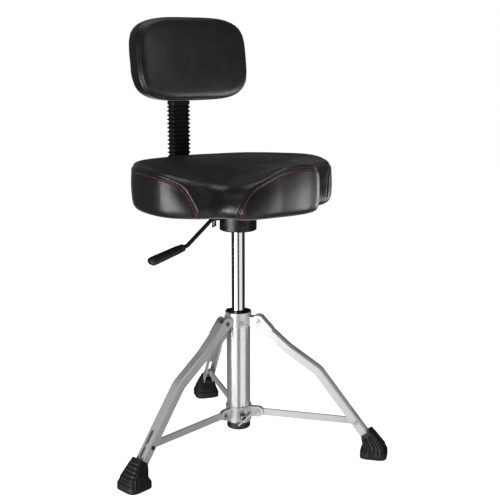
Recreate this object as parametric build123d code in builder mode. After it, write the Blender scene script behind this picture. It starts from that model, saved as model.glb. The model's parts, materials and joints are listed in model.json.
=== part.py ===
"""Drum throne: saddle seat with backrest on a gas-lift column and a folding tripod.

The frame is in millimetres, +Z up. The origin is on the floor, on the column's axis.
The seat faces -Y. In the folding parts, "radius" is measured from the column's axis,
and each leg, strut and foot lies in its own upright plane through that axis.
"""

from build123d import *
from math import asin, atan2, cos, degrees, radians, sin, sqrt, tan
import os

# ---------------------------------------------------------------- driving dimensions

# Tripod directions, in degrees anticlockwise from +X, seen from above
LEG_ANGLES = {"front": -47, "rear": 73, "side": 193}
PLATE_ANGLES = {"front": -107, "left": 13, "right": 133}

# Outer tube and what it holds
TUBE_RADIUS = 25
TUBE_WALL = 2
TUBE_BOTTOM = 54
TUBE_TOP = 293
CAP_BOTTOM = 38
DISC_BOTTOM = 66
DISC_THICKNESS = 4
BEARING_HEIGHT = 6
BUSH_LENGTH = 57
BUSH_RIM = 3
RUNNING_GAP = 0.05

# Gas spring, shown at full height
COLUMN_RADIUS = 14
COLUMN_WALL = 2
COLUMN_BOTTOM = 235
COLUMN_TOP = 488
TAPER_LENGTH = 20
TAPER_TOP_RADIUS = 13.2
GLAND_LENGTH = 15
ROD_RADIUS = 5
ROD_END_RADIUS = 4
PISTON_HEIGHT = 10
PISTON_BOTTOM = 255
BUTTON_RADIUS = 3
BUTTON_PROUD = 3.7

# Pressed collars round the outer tube
PLATE_THICKNESS = 2.5
PLATE_GAP = 0.06
EAR_THICKNESS = 2
UPPER_PLATE_BOTTOM = 265
UPPER_PLATE_HEIGHT = 30
UPPER_PIVOT = (43.5, 276.5)
UPPER_EAR_RADIUS = 8.5
UPPER_EAR_INNER = 6.9
LOWER_PLATE_BOTTOM = 54
LOWER_PLATE_HEIGHT = 34
LOWER_PIVOT = (44, 75)
LOWER_EAR_RADIUS = 11
LOWER_EAR_INNER = 2.6
COLLAR_SCREW_HEIGHT = 274
WING_SCREW_HEIGHT = 70

# Legs: U-shaped channels, web outwards. The outline is the web's outer face.
LEG_OUTLINE = [(54.5, 279.4), (112, 229), (178, 184.5), (297, 29.3)]
LEG_BEND_RADIUS = 45
LEG_WIDTH = 22
LEG_DEPTH = 18
LEG_WALL = 1.6
LEG_CORNER = 3.4
LEG_EAR_RADIUS = 13
LEG_EAR_BLEND = 28
STRUT_PIVOT = (252, 73)
SLOT_LENGTH = 56
SLOT_WIDTH = 7
SLOT_OFFSET = -3

# Struts
STRUT_HEIGHT = 14.4
STRUT_THICKNESS = 4
STRUT_HOLE_RADIUS = 3

# Rubber feet
FOOT_CENTRE = 291
FOOT_SIDE = 56
FOOT_CORNER = 15
FOOT_SOLE_HEIGHT = 9
FOOT_WAIST_SIDE = 45
FOOT_WAIST_HEIGHT = 25
FOOT_TOP_SIDE = 27
FOOT_TOP_OUTSIDE = 6.5
FOOT_TOP_DISTANCE = 33.4
FOOT_FIT = 0.2

# Seat
CUSHION_BOTTOM = 516
CUSHION_HEIGHT = 98
CUSHION_TOP_ROUND = 20
CUSHION_BOTTOM_ROUND = 18
SEAT_HALF_OUTLINE = [
    (0, -173), (60, -170), (92, -154), (106, -128), (126, -110), (155, -99), (184, -77),
    (206, -45), (214, 0), (210, 55), (188, 110), (150, 166), (82, 196), (0, 205),
]
BOARD_SCALE = 0.88
BOARD_THICKNESS = 9
PLATE_LENGTH = 205
PLATE_WIDTH = 150
SEAT_PLATE_THICKNESS = 3
SEAT_PLATE_CENTRE = (0, 27.5)
BOLT_SPACING = 120
BOLT_RADIUS = 3
BOLT_HEAD_RADIUS = 6.5
BOLT_HEAD_HEIGHT = 4
TEE_NUT_RADIUS = 9
TEE_NUT_FLANGE = 1.5
TEE_NUT_BARREL = 4.2
SOCKET_RADIUS = 38.3
SOCKET_BOTTOM = 468
LEVER_SLOT_WIDTH = 10.4
SOCKET_BOLT_HEIGHT = 485
SOCKET_BOLT_RADIUS = 3

# Release lever, in its own upright plane: distance towards the sitter's right, height
LEVER_HEIGHT = 496
LEVER_ROD_RADIUS = 4.25
LEVER_POINTS = [(-5, LEVER_HEIGHT), (62, LEVER_HEIGHT), (121, 448), (180, 431.3)]
LEVER_BEND_RADIUS = 16
LEVER_PIVOT_DISTANCE = 26
LEVER_PIN_RADIUS = 2
GRIP_START = 128
GRIP_LENGTH = 80
GRIP_WIDTH = 25
GRIP_THICKNESS = 15

# Backrest
BAR_WIDTH = 30
BAR_THICKNESS = 6
BAR_LINE = [(50, 509.9), (241, 509.9), (241, 830)]
BAR_BEND_RADIUS = 26
CLAMP_CENTRE = 97.5
CLAMP_LENGTH = 55
CLAMP_WALL = 3
CLAMP_DEPTH = 13
BACK_SCREW_RADIUS = 4
BELLOWS_BOTTOM = 537
BELLOWS_TOP = 719
BELLOWS_WIDTH = 43
BELLOWS_DEPTH = 27
PAD_TILT = 8
PAD_CENTRE = (217, 809)
PAD_WIDTH = 266
PAD_HEIGHT = 178
PAD_CORNER = 62
PAD_THICKNESS = 57
PAD_EDGE_ROUND = 16
BACK_BOARD_THICKNESS = 9
BACK_BOARD_INSET = 10
SLEEVE_BOTTOM = 765
SLEEVE_TOP = 825
SLEEVE_WALL = 3
SLEEVE_GAP = 0.1
PAD_SCREW_SPACING = (50, 50)
KNOB_HEIGHT = 795
KNOB_RADIUS = 15
KNOB_LENGTH = 16
KNOB_SHAFT_RADIUS = 3

# ---------------------------------------------------------------- values worked out

BAR_FRONT = BAR_LINE[1][0] - BAR_THICKNESS / 2
BAR_BACK = BAR_LINE[1][0] + BAR_THICKNESS / 2
SEAT_PLATE_BOTTOM = CUSHION_BOTTOM - SEAT_PLATE_THICKNESS
BOARD_TOP = CUSHION_BOTTOM + BOARD_THICKNESS
PLATE_INNER_RADIUS = TUBE_RADIUS + PLATE_GAP
PLATE_OUTER_RADIUS = PLATE_INNER_RADIUS + PLATE_THICKNESS
LEG_INNER_HALF = LEG_WIDTH / 2 - LEG_WALL

os.makedirs("parts", exist_ok=True)


def save(piece, label):
    """Label a finished piece and write it to its own file."""
    piece.part.label = label
    export_step(piece.part, f"parts/{label}.step")


def side_plane(angle):
    """The upright plane through the column's axis: local X is radius, local Y is height."""
    turn = radians(angle)
    return Plane(origin=(0, 0, 0), x_dir=(cos(turn), sin(turn), 0), z_dir=(sin(turn), -cos(turn), 0))


def facing_plane(angle, radius, height):
    """A plane that faces away from the column: local X is sideways, local Y is up."""
    turn = radians(angle)
    outwards = Vector(cos(turn), sin(turn), 0)
    origin = outwards * radius + Vector(0, 0, height)
    return Plane(origin=origin, x_dir=(-sin(turn), cos(turn), 0), z_dir=outwards)


def level_plane(angle, radius, height):
    """A level plane whose local X points away from the column."""
    turn = radians(angle)
    outwards = Vector(cos(turn), sin(turn), 0)
    return Plane(origin=outwards * radius + Vector(0, 0, height), x_dir=outwards, z_dir=(0, 0, 1))


def ring(label, outer, inner, bottom, top):
    """A plain round tube on the column's axis."""
    with BuildPart() as piece:
        with BuildSketch(Plane.XY.offset(bottom)):
            Circle(outer)
            Circle(inner, mode=Mode.SUBTRACT)
        extrude(amount=top - bottom)
    save(piece, label)


# ---------------------------------------------------------------- outer tube and its inner parts


def make_outer_tube():
    with BuildPart() as outer_tube:
        with BuildSketch(Plane.XY.offset(TUBE_BOTTOM)):
            Circle(TUBE_RADIUS)
            Circle(TUBE_RADIUS - TUBE_WALL, mode=Mode.SUBTRACT)
        extrude(amount=TUBE_TOP - TUBE_BOTTOM)
        for angle in PLATE_ANGLES.values():
            with BuildSketch(facing_plane(angle, 0, COLLAR_SCREW_HEIGHT)):
                Circle(2.5)
            extrude(amount=TUBE_RADIUS + 1, mode=Mode.SUBTRACT)
    save(outer_tube, "outer_tube")


def make_tube_end_cap():
    """A black cup over the tube's end, with a plug that fits inside the tube."""
    plug_radius = TUBE_RADIUS - TUBE_WALL - 0.05
    with BuildPart() as tube_end_cap:
        with BuildSketch(Plane.XY.offset(CAP_BOTTOM)):
            Circle(TUBE_RADIUS)
        extrude(amount=TUBE_BOTTOM - CAP_BOTTOM)
        fillet(tube_end_cap.edges().group_by(Axis.Z)[0], 3)
        with BuildSketch(Plane.XY.offset(TUBE_BOTTOM)):
            Circle(plug_radius)
        extrude(amount=DISC_BOTTOM - TUBE_BOTTOM)
        with BuildSketch(Plane.XY.offset(CAP_BOTTOM + 4)):
            Circle(plug_radius - 3)
        extrude(amount=DISC_BOTTOM - CAP_BOTTOM, mode=Mode.SUBTRACT)
    save(tube_end_cap, "tube_end_cap")


def make_guide_bush():
    """The nylon bush in the tube's mouth, with a rim on top."""
    with BuildPart() as guide_bush:
        with BuildSketch(Plane.XY.offset(TUBE_TOP - BUSH_LENGTH)):
            Circle(TUBE_RADIUS - TUBE_WALL - 0.03)
        extrude(amount=BUSH_LENGTH)
        with BuildSketch(Plane.XY.offset(TUBE_TOP)):
            Circle(TUBE_RADIUS - 0.1)
        extrude(amount=BUSH_RIM)
        fillet(guide_bush.edges().group_by(Axis.Z)[-1], 1.2)
        with BuildSketch(Plane.XY.offset(TUBE_TOP - BUSH_LENGTH)):
            Circle(COLUMN_RADIUS + RUNNING_GAP)
        extrude(amount=BUSH_LENGTH + BUSH_RIM, mode=Mode.SUBTRACT)
    save(guide_bush, "guide_bush")


def make_bearing_parts():
    """The disc that carries the piston rod, and the bearing ring on it."""
    bearing_bottom = DISC_BOTTOM + DISC_THICKNESS
    inner = TUBE_RADIUS - TUBE_WALL - 0.03
    ring("tube_base_disc", inner, ROD_END_RADIUS + RUNNING_GAP, DISC_BOTTOM, bearing_bottom)
    bearing_top = bearing_bottom + BEARING_HEIGHT
    ring("thrust_bearing", 12, ROD_END_RADIUS + RUNNING_GAP, bearing_bottom, bearing_top)


def make_piston_rod():
    """The inner rod: a thin end through the disc, a collar on the bearing, the long shaft."""
    collar_bottom = DISC_BOTTOM + DISC_THICKNESS + BEARING_HEIGHT
    with BuildPart() as piston_rod:
        with BuildSketch(Plane.XY.offset(DISC_BOTTOM - 8)):
            Circle(ROD_END_RADIUS)
        extrude(amount=collar_bottom - DISC_BOTTOM + 8)
        with BuildSketch(Plane.XY.offset(collar_bottom)):
            Circle(9)
        extrude(amount=3)
        with BuildSketch(Plane.XY.offset(collar_bottom + 3)):
            Circle(ROD_RADIUS)
        extrude(amount=PISTON_BOTTOM - collar_bottom - 3)
    save(piston_rod, "piston_rod")


def make_rod_fittings():
    """The piston on top of the rod, and the clip below the disc."""
    piston_radius = COLUMN_RADIUS - COLUMN_WALL - RUNNING_GAP
    ring("piston", piston_radius, 2, PISTON_BOTTOM, PISTON_BOTTOM + PISTON_HEIGHT)
    with BuildPart() as rod_clip:
        with BuildSketch(Plane.XY.offset(DISC_BOTTOM - 4)):
            Circle(8)
            Circle(ROD_END_RADIUS, mode=Mode.SUBTRACT)
            with Locations((0, 6)):
                Rectangle(5, 8, mode=Mode.SUBTRACT)
        extrude(amount=1.5)
    save(rod_clip, "rod_clip")


# ---------------------------------------------------------------- gas column


def make_gas_column():
    """The chrome pressure tube, with a tapered top that sits in the seat's socket."""
    taper_bottom = COLUMN_TOP - TAPER_LENGTH
    head_thickness = 22
    with BuildPart() as gas_column:
        with BuildSketch(Plane.XY.offset(COLUMN_BOTTOM)):
            Circle(COLUMN_RADIUS)
        extrude(amount=taper_bottom - COLUMN_BOTTOM)
        with BuildSketch(Plane.XY.offset(taper_bottom)):
            Circle(COLUMN_RADIUS - 0.02)
        with BuildSketch(Plane.XY.offset(COLUMN_TOP)):
            Circle(TAPER_TOP_RADIUS)
        loft()
        with BuildSketch(Plane.XY.offset(COLUMN_BOTTOM)):
            Circle(COLUMN_RADIUS - COLUMN_WALL)
        extrude(amount=COLUMN_TOP - head_thickness - COLUMN_BOTTOM, mode=Mode.SUBTRACT)
        with BuildSketch(Plane.XY.offset(COLUMN_TOP - head_thickness)):
            Circle(BUTTON_RADIUS + RUNNING_GAP)
        extrude(amount=head_thickness, mode=Mode.SUBTRACT)
    save(gas_column, "gas_column")


def make_column_fittings():
    """The gland that closes the column round the rod, and the valve button in its top."""
    gland_outer = COLUMN_RADIUS - COLUMN_WALL
    gland_top = COLUMN_BOTTOM + GLAND_LENGTH
    ring("column_gland", gland_outer, ROD_RADIUS + RUNNING_GAP, COLUMN_BOTTOM, gland_top)
    button_length = 18
    with BuildPart() as release_button:
        with BuildSketch(Plane.XY.offset(COLUMN_TOP + BUTTON_PROUD - button_length)):
            Circle(BUTTON_RADIUS)
        extrude(amount=button_length)
        chamfer(release_button.edges().group_by(Axis.Z)[-1], 0.5)
    save(release_button, "release_button")


# ---------------------------------------------------------------- collars


def collar_plate(plate_angle, ear, bottom, height, screw_height, screw_radius):
    """A pressed plate round the tube, with one ear at each end and a screw hole in the middle."""
    inner_offset, pivot, ear_radius, hole_radius = ear
    middle_radius = PLATE_INNER_RADIUS + PLATE_THICKNESS / 2
    reach = 60 - degrees(asin((inner_offset + EAR_THICKNESS / 2) / middle_radius))
    root = sqrt(PLATE_INNER_RADIUS**2 - inner_offset**2) + 0.05
    ear_middle = (root + pivot[0]) / 2
    with BuildPart() as plate:
        with BuildSketch(Plane.XY.offset(bottom)):
            with BuildLine():
                inner = CenterArc((0, 0), PLATE_INNER_RADIUS, plate_angle - reach, 2 * reach)
                outer = CenterArc((0, 0), PLATE_OUTER_RADIUS, plate_angle - reach, 2 * reach)
                Line(inner @ 0, outer @ 0)
                Line(inner @ 1, outer @ 1)
            make_face()
        extrude(amount=height)
        for leg_angle, start in (
            (plate_angle - 60, -inner_offset - EAR_THICKNESS),
            (plate_angle + 60, inner_offset),
        ):
            with BuildSketch(side_plane(leg_angle).offset(start)):
                with Locations((ear_middle, pivot[1])):
                    Rectangle(pivot[0] - root, 2 * ear_radius)
                with Locations(pivot):
                    Circle(ear_radius)
                    Circle(hole_radius, mode=Mode.SUBTRACT)
            extrude(amount=EAR_THICKNESS)
        with BuildSketch(facing_plane(plate_angle, 0, screw_height)):
            Circle(screw_radius)
        extrude(amount=PLATE_OUTER_RADIUS + 1, mode=Mode.SUBTRACT)
    return plate


def make_collar_plates():
    """Three plates hold the legs at the top, and three more slide on the tube below."""
    upper_ear = (UPPER_EAR_INNER, UPPER_PIVOT, UPPER_EAR_RADIUS, 3)
    lower_ear = (LOWER_EAR_INNER, LOWER_PIVOT, LOWER_EAR_RADIUS, 2.5)
    upper_span = (UPPER_PLATE_BOTTOM, UPPER_PLATE_HEIGHT)
    lower_span = (LOWER_PLATE_BOTTOM, LOWER_PLATE_HEIGHT)
    for name, angle in PLATE_ANGLES.items():
        upper = collar_plate(angle, upper_ear, *upper_span, COLLAR_SCREW_HEIGHT, 2.5)
        save(upper, f"upper_plate_{name}")
        screw_radius = 3 + RUNNING_GAP if name == "front" else 2.5
        lower = collar_plate(angle, lower_ear, *lower_span, WING_SCREW_HEIGHT, screw_radius)
        save(lower, f"lower_plate_{name}")


def make_collar_screws():
    """Three pan-head screws, one in the middle of each upper plate."""
    with BuildPart() as collar_screws:
        for angle in PLATE_ANGLES.values():
            with BuildSketch(facing_plane(angle, TUBE_RADIUS - TUBE_WALL, COLLAR_SCREW_HEIGHT)):
                Circle(2.5)
            extrude(amount=TUBE_WALL + PLATE_GAP + PLATE_THICKNESS + 1)
            with BuildSketch(facing_plane(angle, PLATE_OUTER_RADIUS, COLLAR_SCREW_HEIGHT)):
                Circle(4.5)
                Rectangle(6, 1.2, mode=Mode.SUBTRACT)
            extrude(amount=2.4)
    save(collar_screws, "collar_screws")


def make_leg_pivot_rivets():
    """Three tubular rivets through the collar's ears and the legs' flanges."""
    shaft_half = LEG_WIDTH / 2 + 0.2
    head = 1.8
    with BuildPart() as leg_pivot_rivets:
        for angle in LEG_ANGLES.values():
            plane = side_plane(angle)
            with BuildSketch(plane):
                with Locations(UPPER_PIVOT):
                    Circle(3)
            extrude(amount=shaft_half, both=True)
            for start in (shaft_half, -shaft_half - head):
                with BuildSketch(plane.offset(start)):
                    with Locations(UPPER_PIVOT):
                        Circle(5)
                extrude(amount=head)
            with BuildSketch(plane):
                with Locations(UPPER_PIVOT):
                    Circle(1.6)
            extrude(amount=shaft_half + head, both=True, mode=Mode.SUBTRACT)
    save(leg_pivot_rivets, "leg_pivot_rivets")


def make_leg_pivot_spacers():
    """Three spacer tubes that hold each pair of upper ears apart."""
    with BuildPart() as leg_pivot_spacers:
        for angle in LEG_ANGLES.values():
            with BuildSketch(side_plane(angle)):
                with Locations(UPPER_PIVOT):
                    Circle(6)
                    Circle(3, mode=Mode.SUBTRACT)
            extrude(amount=UPPER_EAR_INNER, both=True)
    save(leg_pivot_spacers, "leg_pivot_spacers")


def make_strut_pivot_rivets():
    """Three rivets through the lower ears, which the struts turn on."""
    ear_half = LOWER_EAR_INNER + EAR_THICKNESS
    with BuildPart() as strut_pivot_rivets:
        for angle in LEG_ANGLES.values():
            plane = side_plane(angle)
            with BuildSketch(plane):
                with Locations(LOWER_PIVOT):
                    Circle(2.5)
            extrude(amount=ear_half, both=True)
            for start in (ear_half, -ear_half - 1.5):
                with BuildSketch(plane.offset(start)):
                    with Locations(LOWER_PIVOT):
                        Circle(4.5)
                extrude(amount=1.5)
    save(strut_pivot_rivets, "strut_pivot_rivets")


def make_collar_wing_screw():
    """The wing screw that locks the sliding collar on the tube, and its hub."""
    angle = PLATE_ANGLES["front"]
    hub_start = PLATE_OUTER_RADIUS + 6.2
    wing_turn = 39
    with BuildPart() as collar_wing_screw:
        with BuildSketch(facing_plane(angle, TUBE_RADIUS + 0.1, WING_SCREW_HEIGHT)):
            Circle(3)
        extrude(amount=hub_start - TUBE_RADIUS)
        with BuildSketch(facing_plane(angle, hub_start, WING_SCREW_HEIGHT)):
            Circle(5.5)
        extrude(amount=10)
        with BuildSketch(facing_plane(angle, hub_start + 3, WING_SCREW_HEIGHT)):
            with BuildLine(Rot(0, 0, wing_turn)):
                left_wing = ((-5, -1.6), (-19, -2.4), (-19, 2.4), (-5, 1.6))
                right_wing = ((5, 1.6), (19, 2.4), (19, -2.4), (5, -1.6))
                Polyline(*left_wing, *right_wing, close=True)
            make_face()
        extrude(amount=12)
    save(collar_wing_screw, "collar_wing_screw")


def make_collar_nut():
    """The square nut that is welded on the lower front plate."""
    with BuildPart() as collar_nut:
        with BuildSketch(facing_plane(PLATE_ANGLES["front"], PLATE_OUTER_RADIUS, WING_SCREW_HEIGHT)):
            Rectangle(13, 13)
            Circle(3 + RUNNING_GAP, mode=Mode.SUBTRACT)
        extrude(amount=6)
    save(collar_nut, "collar_nut")


# ---------------------------------------------------------------- legs, struts and feet


def direction(start, end):
    """The unit vector from one outline point to the next."""
    return (Vector(*end) - Vector(*start)).normalized()


LEG_UPPER_RUN = direction(LEG_OUTLINE[0], LEG_OUTLINE[1])
LEG_LOWER_RUN = direction(LEG_OUTLINE[2], LEG_OUTLINE[3])
LEG_LOWER_OUT = Vector(-LEG_LOWER_RUN.Y, LEG_LOWER_RUN.X)


def leg_lower_plane(plane, distance):
    """A plane on the web's outer face, `distance` up from the leg's lower end, Z outwards."""
    point = Vector(*LEG_OUTLINE[3]) - LEG_LOWER_RUN * distance
    return Plane(
        origin=plane.from_local_coords(point),
        x_dir=plane.from_local_coords(LEG_LOWER_RUN),
        z_dir=plane.from_local_coords(LEG_LOWER_OUT),
    )


def leg_ear_points():
    """Where the flange leaves the pivot's round ear and blends into the channel."""
    pivot = Vector(*UPPER_PIVOT)
    outwards = Vector(-LEG_UPPER_RUN.Y, LEG_UPPER_RUN.X)
    blend = Vector(*LEG_OUTLINE[0]) + LEG_UPPER_RUN * LEG_EAR_BLEND
    return [
        pivot + outwards * LEG_EAR_RADIUS,
        blend,
        blend - outwards * LEG_DEPTH,
        pivot - outwards * LEG_EAR_RADIUS,
    ]


def make_leg(name, angle):
    plane = side_plane(angle)
    pivot_distance = (Vector(*LEG_OUTLINE[3]) - Vector(*STRUT_PIVOT)).dot(LEG_LOWER_RUN)
    with BuildPart() as leg:
        with BuildLine(plane) as web:
            FilletPolyline(*LEG_OUTLINE, radius=LEG_BEND_RADIUS)
        sideways = plane.z_dir
        with BuildSketch(Plane(origin=web.line @ 0, x_dir=sideways, z_dir=web.line % 0)) as section:
            Rectangle(LEG_WIDTH, LEG_DEPTH, align=(Align.CENTER, Align.MIN))
            fillet(section.vertices().group_by(Axis.Y)[0], LEG_CORNER)
            with Locations((0, LEG_WALL)):
                RectangleRounded(2 * LEG_INNER_HALF, 2 * LEG_DEPTH, LEG_CORNER - LEG_WALL,
                                 align=(Align.CENTER, Align.MIN), mode=Mode.SUBTRACT)
        sweep(path=web.line)
        for start in (LEG_INNER_HALF, -LEG_WIDTH / 2):
            with BuildSketch(plane.offset(start)):
                with BuildLine():
                    Polyline(*leg_ear_points(), close=True)
                make_face()
                with Locations(UPPER_PIVOT):
                    Circle(LEG_EAR_RADIUS)
            extrude(amount=LEG_WALL)
        with BuildSketch(plane):
            with Locations(UPPER_PIVOT):
                Circle(3 + RUNNING_GAP)
            with Locations(STRUT_PIVOT):
                Circle(STRUT_HOLE_RADIUS)
        extrude(amount=LEG_WIDTH, both=True, mode=Mode.SUBTRACT)
        with BuildSketch(leg_lower_plane(plane, pivot_distance)):
            with Locations((SLOT_OFFSET, 0)):
                SlotOverall(SLOT_LENGTH, SLOT_WIDTH)
        extrude(amount=3, both=True, mode=Mode.SUBTRACT)
    save(leg, f"{name}_leg")


def make_strut(name, angle):
    """A flat bar from the sliding collar to the leg, with a hole at each rounded end."""
    inner, outer = Vector(*LOWER_PIVOT), Vector(*STRUT_PIVOT)
    run = outer - inner
    middle = (inner + outer) * 0.5
    with BuildPart() as strut:
        with BuildSketch(side_plane(angle)):
            with Locations(middle):
                SlotCenterToCenter(run.length, STRUT_HEIGHT, rotation=degrees(atan2(run.Y, run.X)))
            with Locations(LOWER_PIVOT):
                Circle(2.5 + RUNNING_GAP, mode=Mode.SUBTRACT)
            with Locations(STRUT_PIVOT):
                Circle(STRUT_HOLE_RADIUS, mode=Mode.SUBTRACT)
        extrude(amount=STRUT_THICKNESS / 2, both=True)
    save(strut, f"{name}_strut")


def make_strut_rivets(name, angle):
    """Two shouldered rivets, one in each flange, that hold the strut's end between them."""
    plane = side_plane(angle)
    shoulder = STRUT_THICKNESS / 2 + 0.4
    with BuildPart() as rivets:
        for side in (1, -1):
            for near, far, radius in [
                (shoulder, LEG_INNER_HALF, 5),
                (LEG_INNER_HALF, LEG_WIDTH / 2, STRUT_HOLE_RADIUS),
                (LEG_WIDTH / 2, LEG_WIDTH / 2 + 1.8, 4.5),
            ]:
                with BuildSketch(plane.offset(side * near)):
                    with Locations(STRUT_PIVOT):
                        Circle(radius)
                extrude(amount=side * (far - near))
    save(rivets, f"{name}_strut_rivets")


def make_foot(name, angle):
    """A rubber boot that flares from the leg's channel to a square sole."""
    plane = side_plane(angle)
    mouth = leg_lower_plane(plane, FOOT_TOP_DISTANCE)
    section_centre = FOOT_TOP_OUTSIDE - FOOT_TOP_SIDE / 2
    mouth_centre = mouth.from_local_coords((0, 0, section_centre))
    with BuildPart() as foot:
        with BuildSketch(Plane(origin=mouth_centre, x_dir=mouth.z_dir, z_dir=-mouth.x_dir)):
            RectangleRounded(FOOT_TOP_SIDE, FOOT_TOP_SIDE, 5)
        with BuildSketch(level_plane(angle, FOOT_CENTRE, FOOT_WAIST_HEIGHT)):
            RectangleRounded(FOOT_WAIST_SIDE, FOOT_WAIST_SIDE, FOOT_CORNER - 4)
        loft()
        with BuildSketch(level_plane(angle, FOOT_CENTRE, FOOT_WAIST_HEIGHT)):
            RectangleRounded(FOOT_WAIST_SIDE, FOOT_WAIST_SIDE, FOOT_CORNER - 4)
        with BuildSketch(level_plane(angle, FOOT_CENTRE, FOOT_SOLE_HEIGHT)):
            RectangleRounded(FOOT_SIDE, FOOT_SIDE, FOOT_CORNER)
        loft()
        with BuildSketch(level_plane(angle, FOOT_CENTRE, 0)):
            RectangleRounded(FOOT_SIDE, FOOT_SIDE, FOOT_CORNER)
        extrude(amount=FOOT_SOLE_HEIGHT)
        chamfer(foot.edges().group_by(Axis.Z)[0], 1.5)
        channel_middle = mouth.from_local_coords((0, 0, -LEG_DEPTH / 2))
        with BuildSketch(Plane(origin=channel_middle, x_dir=mouth.z_dir, z_dir=mouth.x_dir)):
            Rectangle(LEG_DEPTH + 2 * FOOT_FIT, LEG_WIDTH + 2 * FOOT_FIT)
        extrude(amount=FOOT_TOP_DISTANCE + FOOT_FIT, mode=Mode.SUBTRACT)
    save(foot, f"{name}_foot")


# ---------------------------------------------------------------- seat


def seat_outline(scale):
    """The seat's plan, the same on both sides."""
    right = [(x * scale, y * scale) for x, y in SEAT_HALF_OUTLINE]
    left = [(-x, y) for x, y in reversed(right[1:-1])]
    return Spline(*right, *left, periodic=True)


def make_seat_cushion():
    """The padded block, with a pocket underneath for the board."""
    with BuildPart() as seat_cushion:
        with BuildSketch(Plane.XY.offset(CUSHION_BOTTOM)):
            with BuildLine():
                seat_outline(1)
            make_face()
        extrude(amount=CUSHION_HEIGHT)
        fillet(seat_cushion.edges().group_by(Axis.Z)[-1], CUSHION_TOP_ROUND)
        fillet(seat_cushion.edges().group_by(Axis.Z)[0], CUSHION_BOTTOM_ROUND)
        with BuildSketch(Plane.XY.offset(CUSHION_BOTTOM)):
            with BuildLine():
                seat_outline(BOARD_SCALE)
            make_face()
        extrude(amount=BOARD_THICKNESS, mode=Mode.SUBTRACT)
    save(seat_cushion, "seat_cushion")


def make_seat_board():
    """The plywood base, with a stepped hole for each tee nut."""
    with BuildPart() as seat_board:
        with BuildSketch(Plane.XY.offset(CUSHION_BOTTOM)):
            with BuildLine():
                seat_outline(BOARD_SCALE)
            make_face()
        extrude(amount=BOARD_THICKNESS)
        for radius, depth in ((TEE_NUT_BARREL, BOARD_THICKNESS), (TEE_NUT_RADIUS, TEE_NUT_FLANGE)):
            with BuildSketch(Plane.XY.offset(BOARD_TOP)):
                with GridLocations(BOLT_SPACING, BOLT_SPACING, 2, 2):
                    Circle(radius)
            extrude(amount=-depth, mode=Mode.SUBTRACT)
    save(seat_board, "seat_board")


def make_tee_nuts():
    """Four flanged nuts, pressed into the board from above."""
    with BuildPart() as tee_nuts:
        for radius, depth in ((TEE_NUT_BARREL, BOARD_THICKNESS), (TEE_NUT_RADIUS, TEE_NUT_FLANGE)):
            with BuildSketch(Plane.XY.offset(BOARD_TOP)):
                with GridLocations(BOLT_SPACING, BOLT_SPACING, 2, 2):
                    Circle(radius)
            extrude(amount=-depth)
        with BuildSketch(Plane.XY.offset(CUSHION_BOTTOM)):
            with GridLocations(BOLT_SPACING, BOLT_SPACING, 2, 2):
                Circle(BOLT_RADIUS)
        extrude(amount=BOARD_THICKNESS, mode=Mode.SUBTRACT)
    save(tee_nuts, "tee_nuts")


def make_plate_bolts():
    """Four hexagon bolts that hold the plate under the board."""
    with BuildPart() as plate_bolts:
        with BuildSketch(Plane.XY.offset(SEAT_PLATE_BOTTOM - BOLT_HEAD_HEIGHT)):
            with GridLocations(BOLT_SPACING, BOLT_SPACING, 2, 2):
                RegularPolygon(BOLT_HEAD_RADIUS, 6)
        extrude(amount=BOLT_HEAD_HEIGHT)
        with BuildSketch(Plane.XY.offset(SEAT_PLATE_BOTTOM)):
            with GridLocations(BOLT_SPACING, BOLT_SPACING, 2, 2):
                Circle(BOLT_RADIUS)
        extrude(amount=SEAT_PLATE_THICKNESS + BOARD_THICKNESS - 1)
    save(plate_bolts, "plate_bolts")


def make_seat_plate():
    with BuildPart() as seat_plate:
        with BuildSketch(Plane.XY.offset(SEAT_PLATE_BOTTOM)):
            with Locations(SEAT_PLATE_CENTRE):
                RectangleRounded(PLATE_WIDTH, PLATE_LENGTH, 14)
            with GridLocations(BOLT_SPACING, BOLT_SPACING, 2, 2):
                Circle(BOLT_RADIUS, mode=Mode.SUBTRACT)
        extrude(amount=SEAT_PLATE_THICKNESS)
    save(seat_plate, "seat_plate")


def make_column_socket():
    """The round housing with a taper bore for the column and a slot for the lever."""
    with BuildPart() as column_socket:
        with BuildSketch(Plane.XY.offset(SOCKET_BOTTOM)):
            Circle(SOCKET_RADIUS)
        extrude(amount=SEAT_PLATE_BOTTOM - SOCKET_BOTTOM)
        fillet(column_socket.edges().group_by(Axis.Z)[0], 3)
        with BuildSketch(Plane.XY.offset(SOCKET_BOTTOM)):
            Circle(COLUMN_RADIUS)
        with BuildSketch(Plane.XY.offset(COLUMN_TOP)):
            Circle(TAPER_TOP_RADIUS + 0.02)
        loft(mode=Mode.SUBTRACT)
        slot_start = LEVER_POINTS[0][0] - 3
        slot_centre = -(SOCKET_RADIUS + 2 + slot_start) / 2
        with BuildSketch(Plane.XY.offset(COLUMN_TOP)):
            with Locations((slot_centre, 0)):
                Rectangle(SOCKET_RADIUS + 2 - slot_start, LEVER_SLOT_WIDTH)
        extrude(amount=SEAT_PLATE_BOTTOM - COLUMN_TOP, mode=Mode.SUBTRACT)
        with BuildSketch(Plane.XZ):
            with Locations((-LEVER_PIVOT_DISTANCE, LEVER_HEIGHT)):
                Circle(LEVER_PIN_RADIUS)
        extrude(amount=14, both=True, mode=Mode.SUBTRACT)
        with BuildSketch(facing_plane(PLATE_ANGLES["front"], 20, SOCKET_BOLT_HEIGHT)):
            Circle(SOCKET_BOLT_RADIUS)
        extrude(amount=SOCKET_RADIUS, mode=Mode.SUBTRACT)
    save(column_socket, "column_socket")


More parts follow.
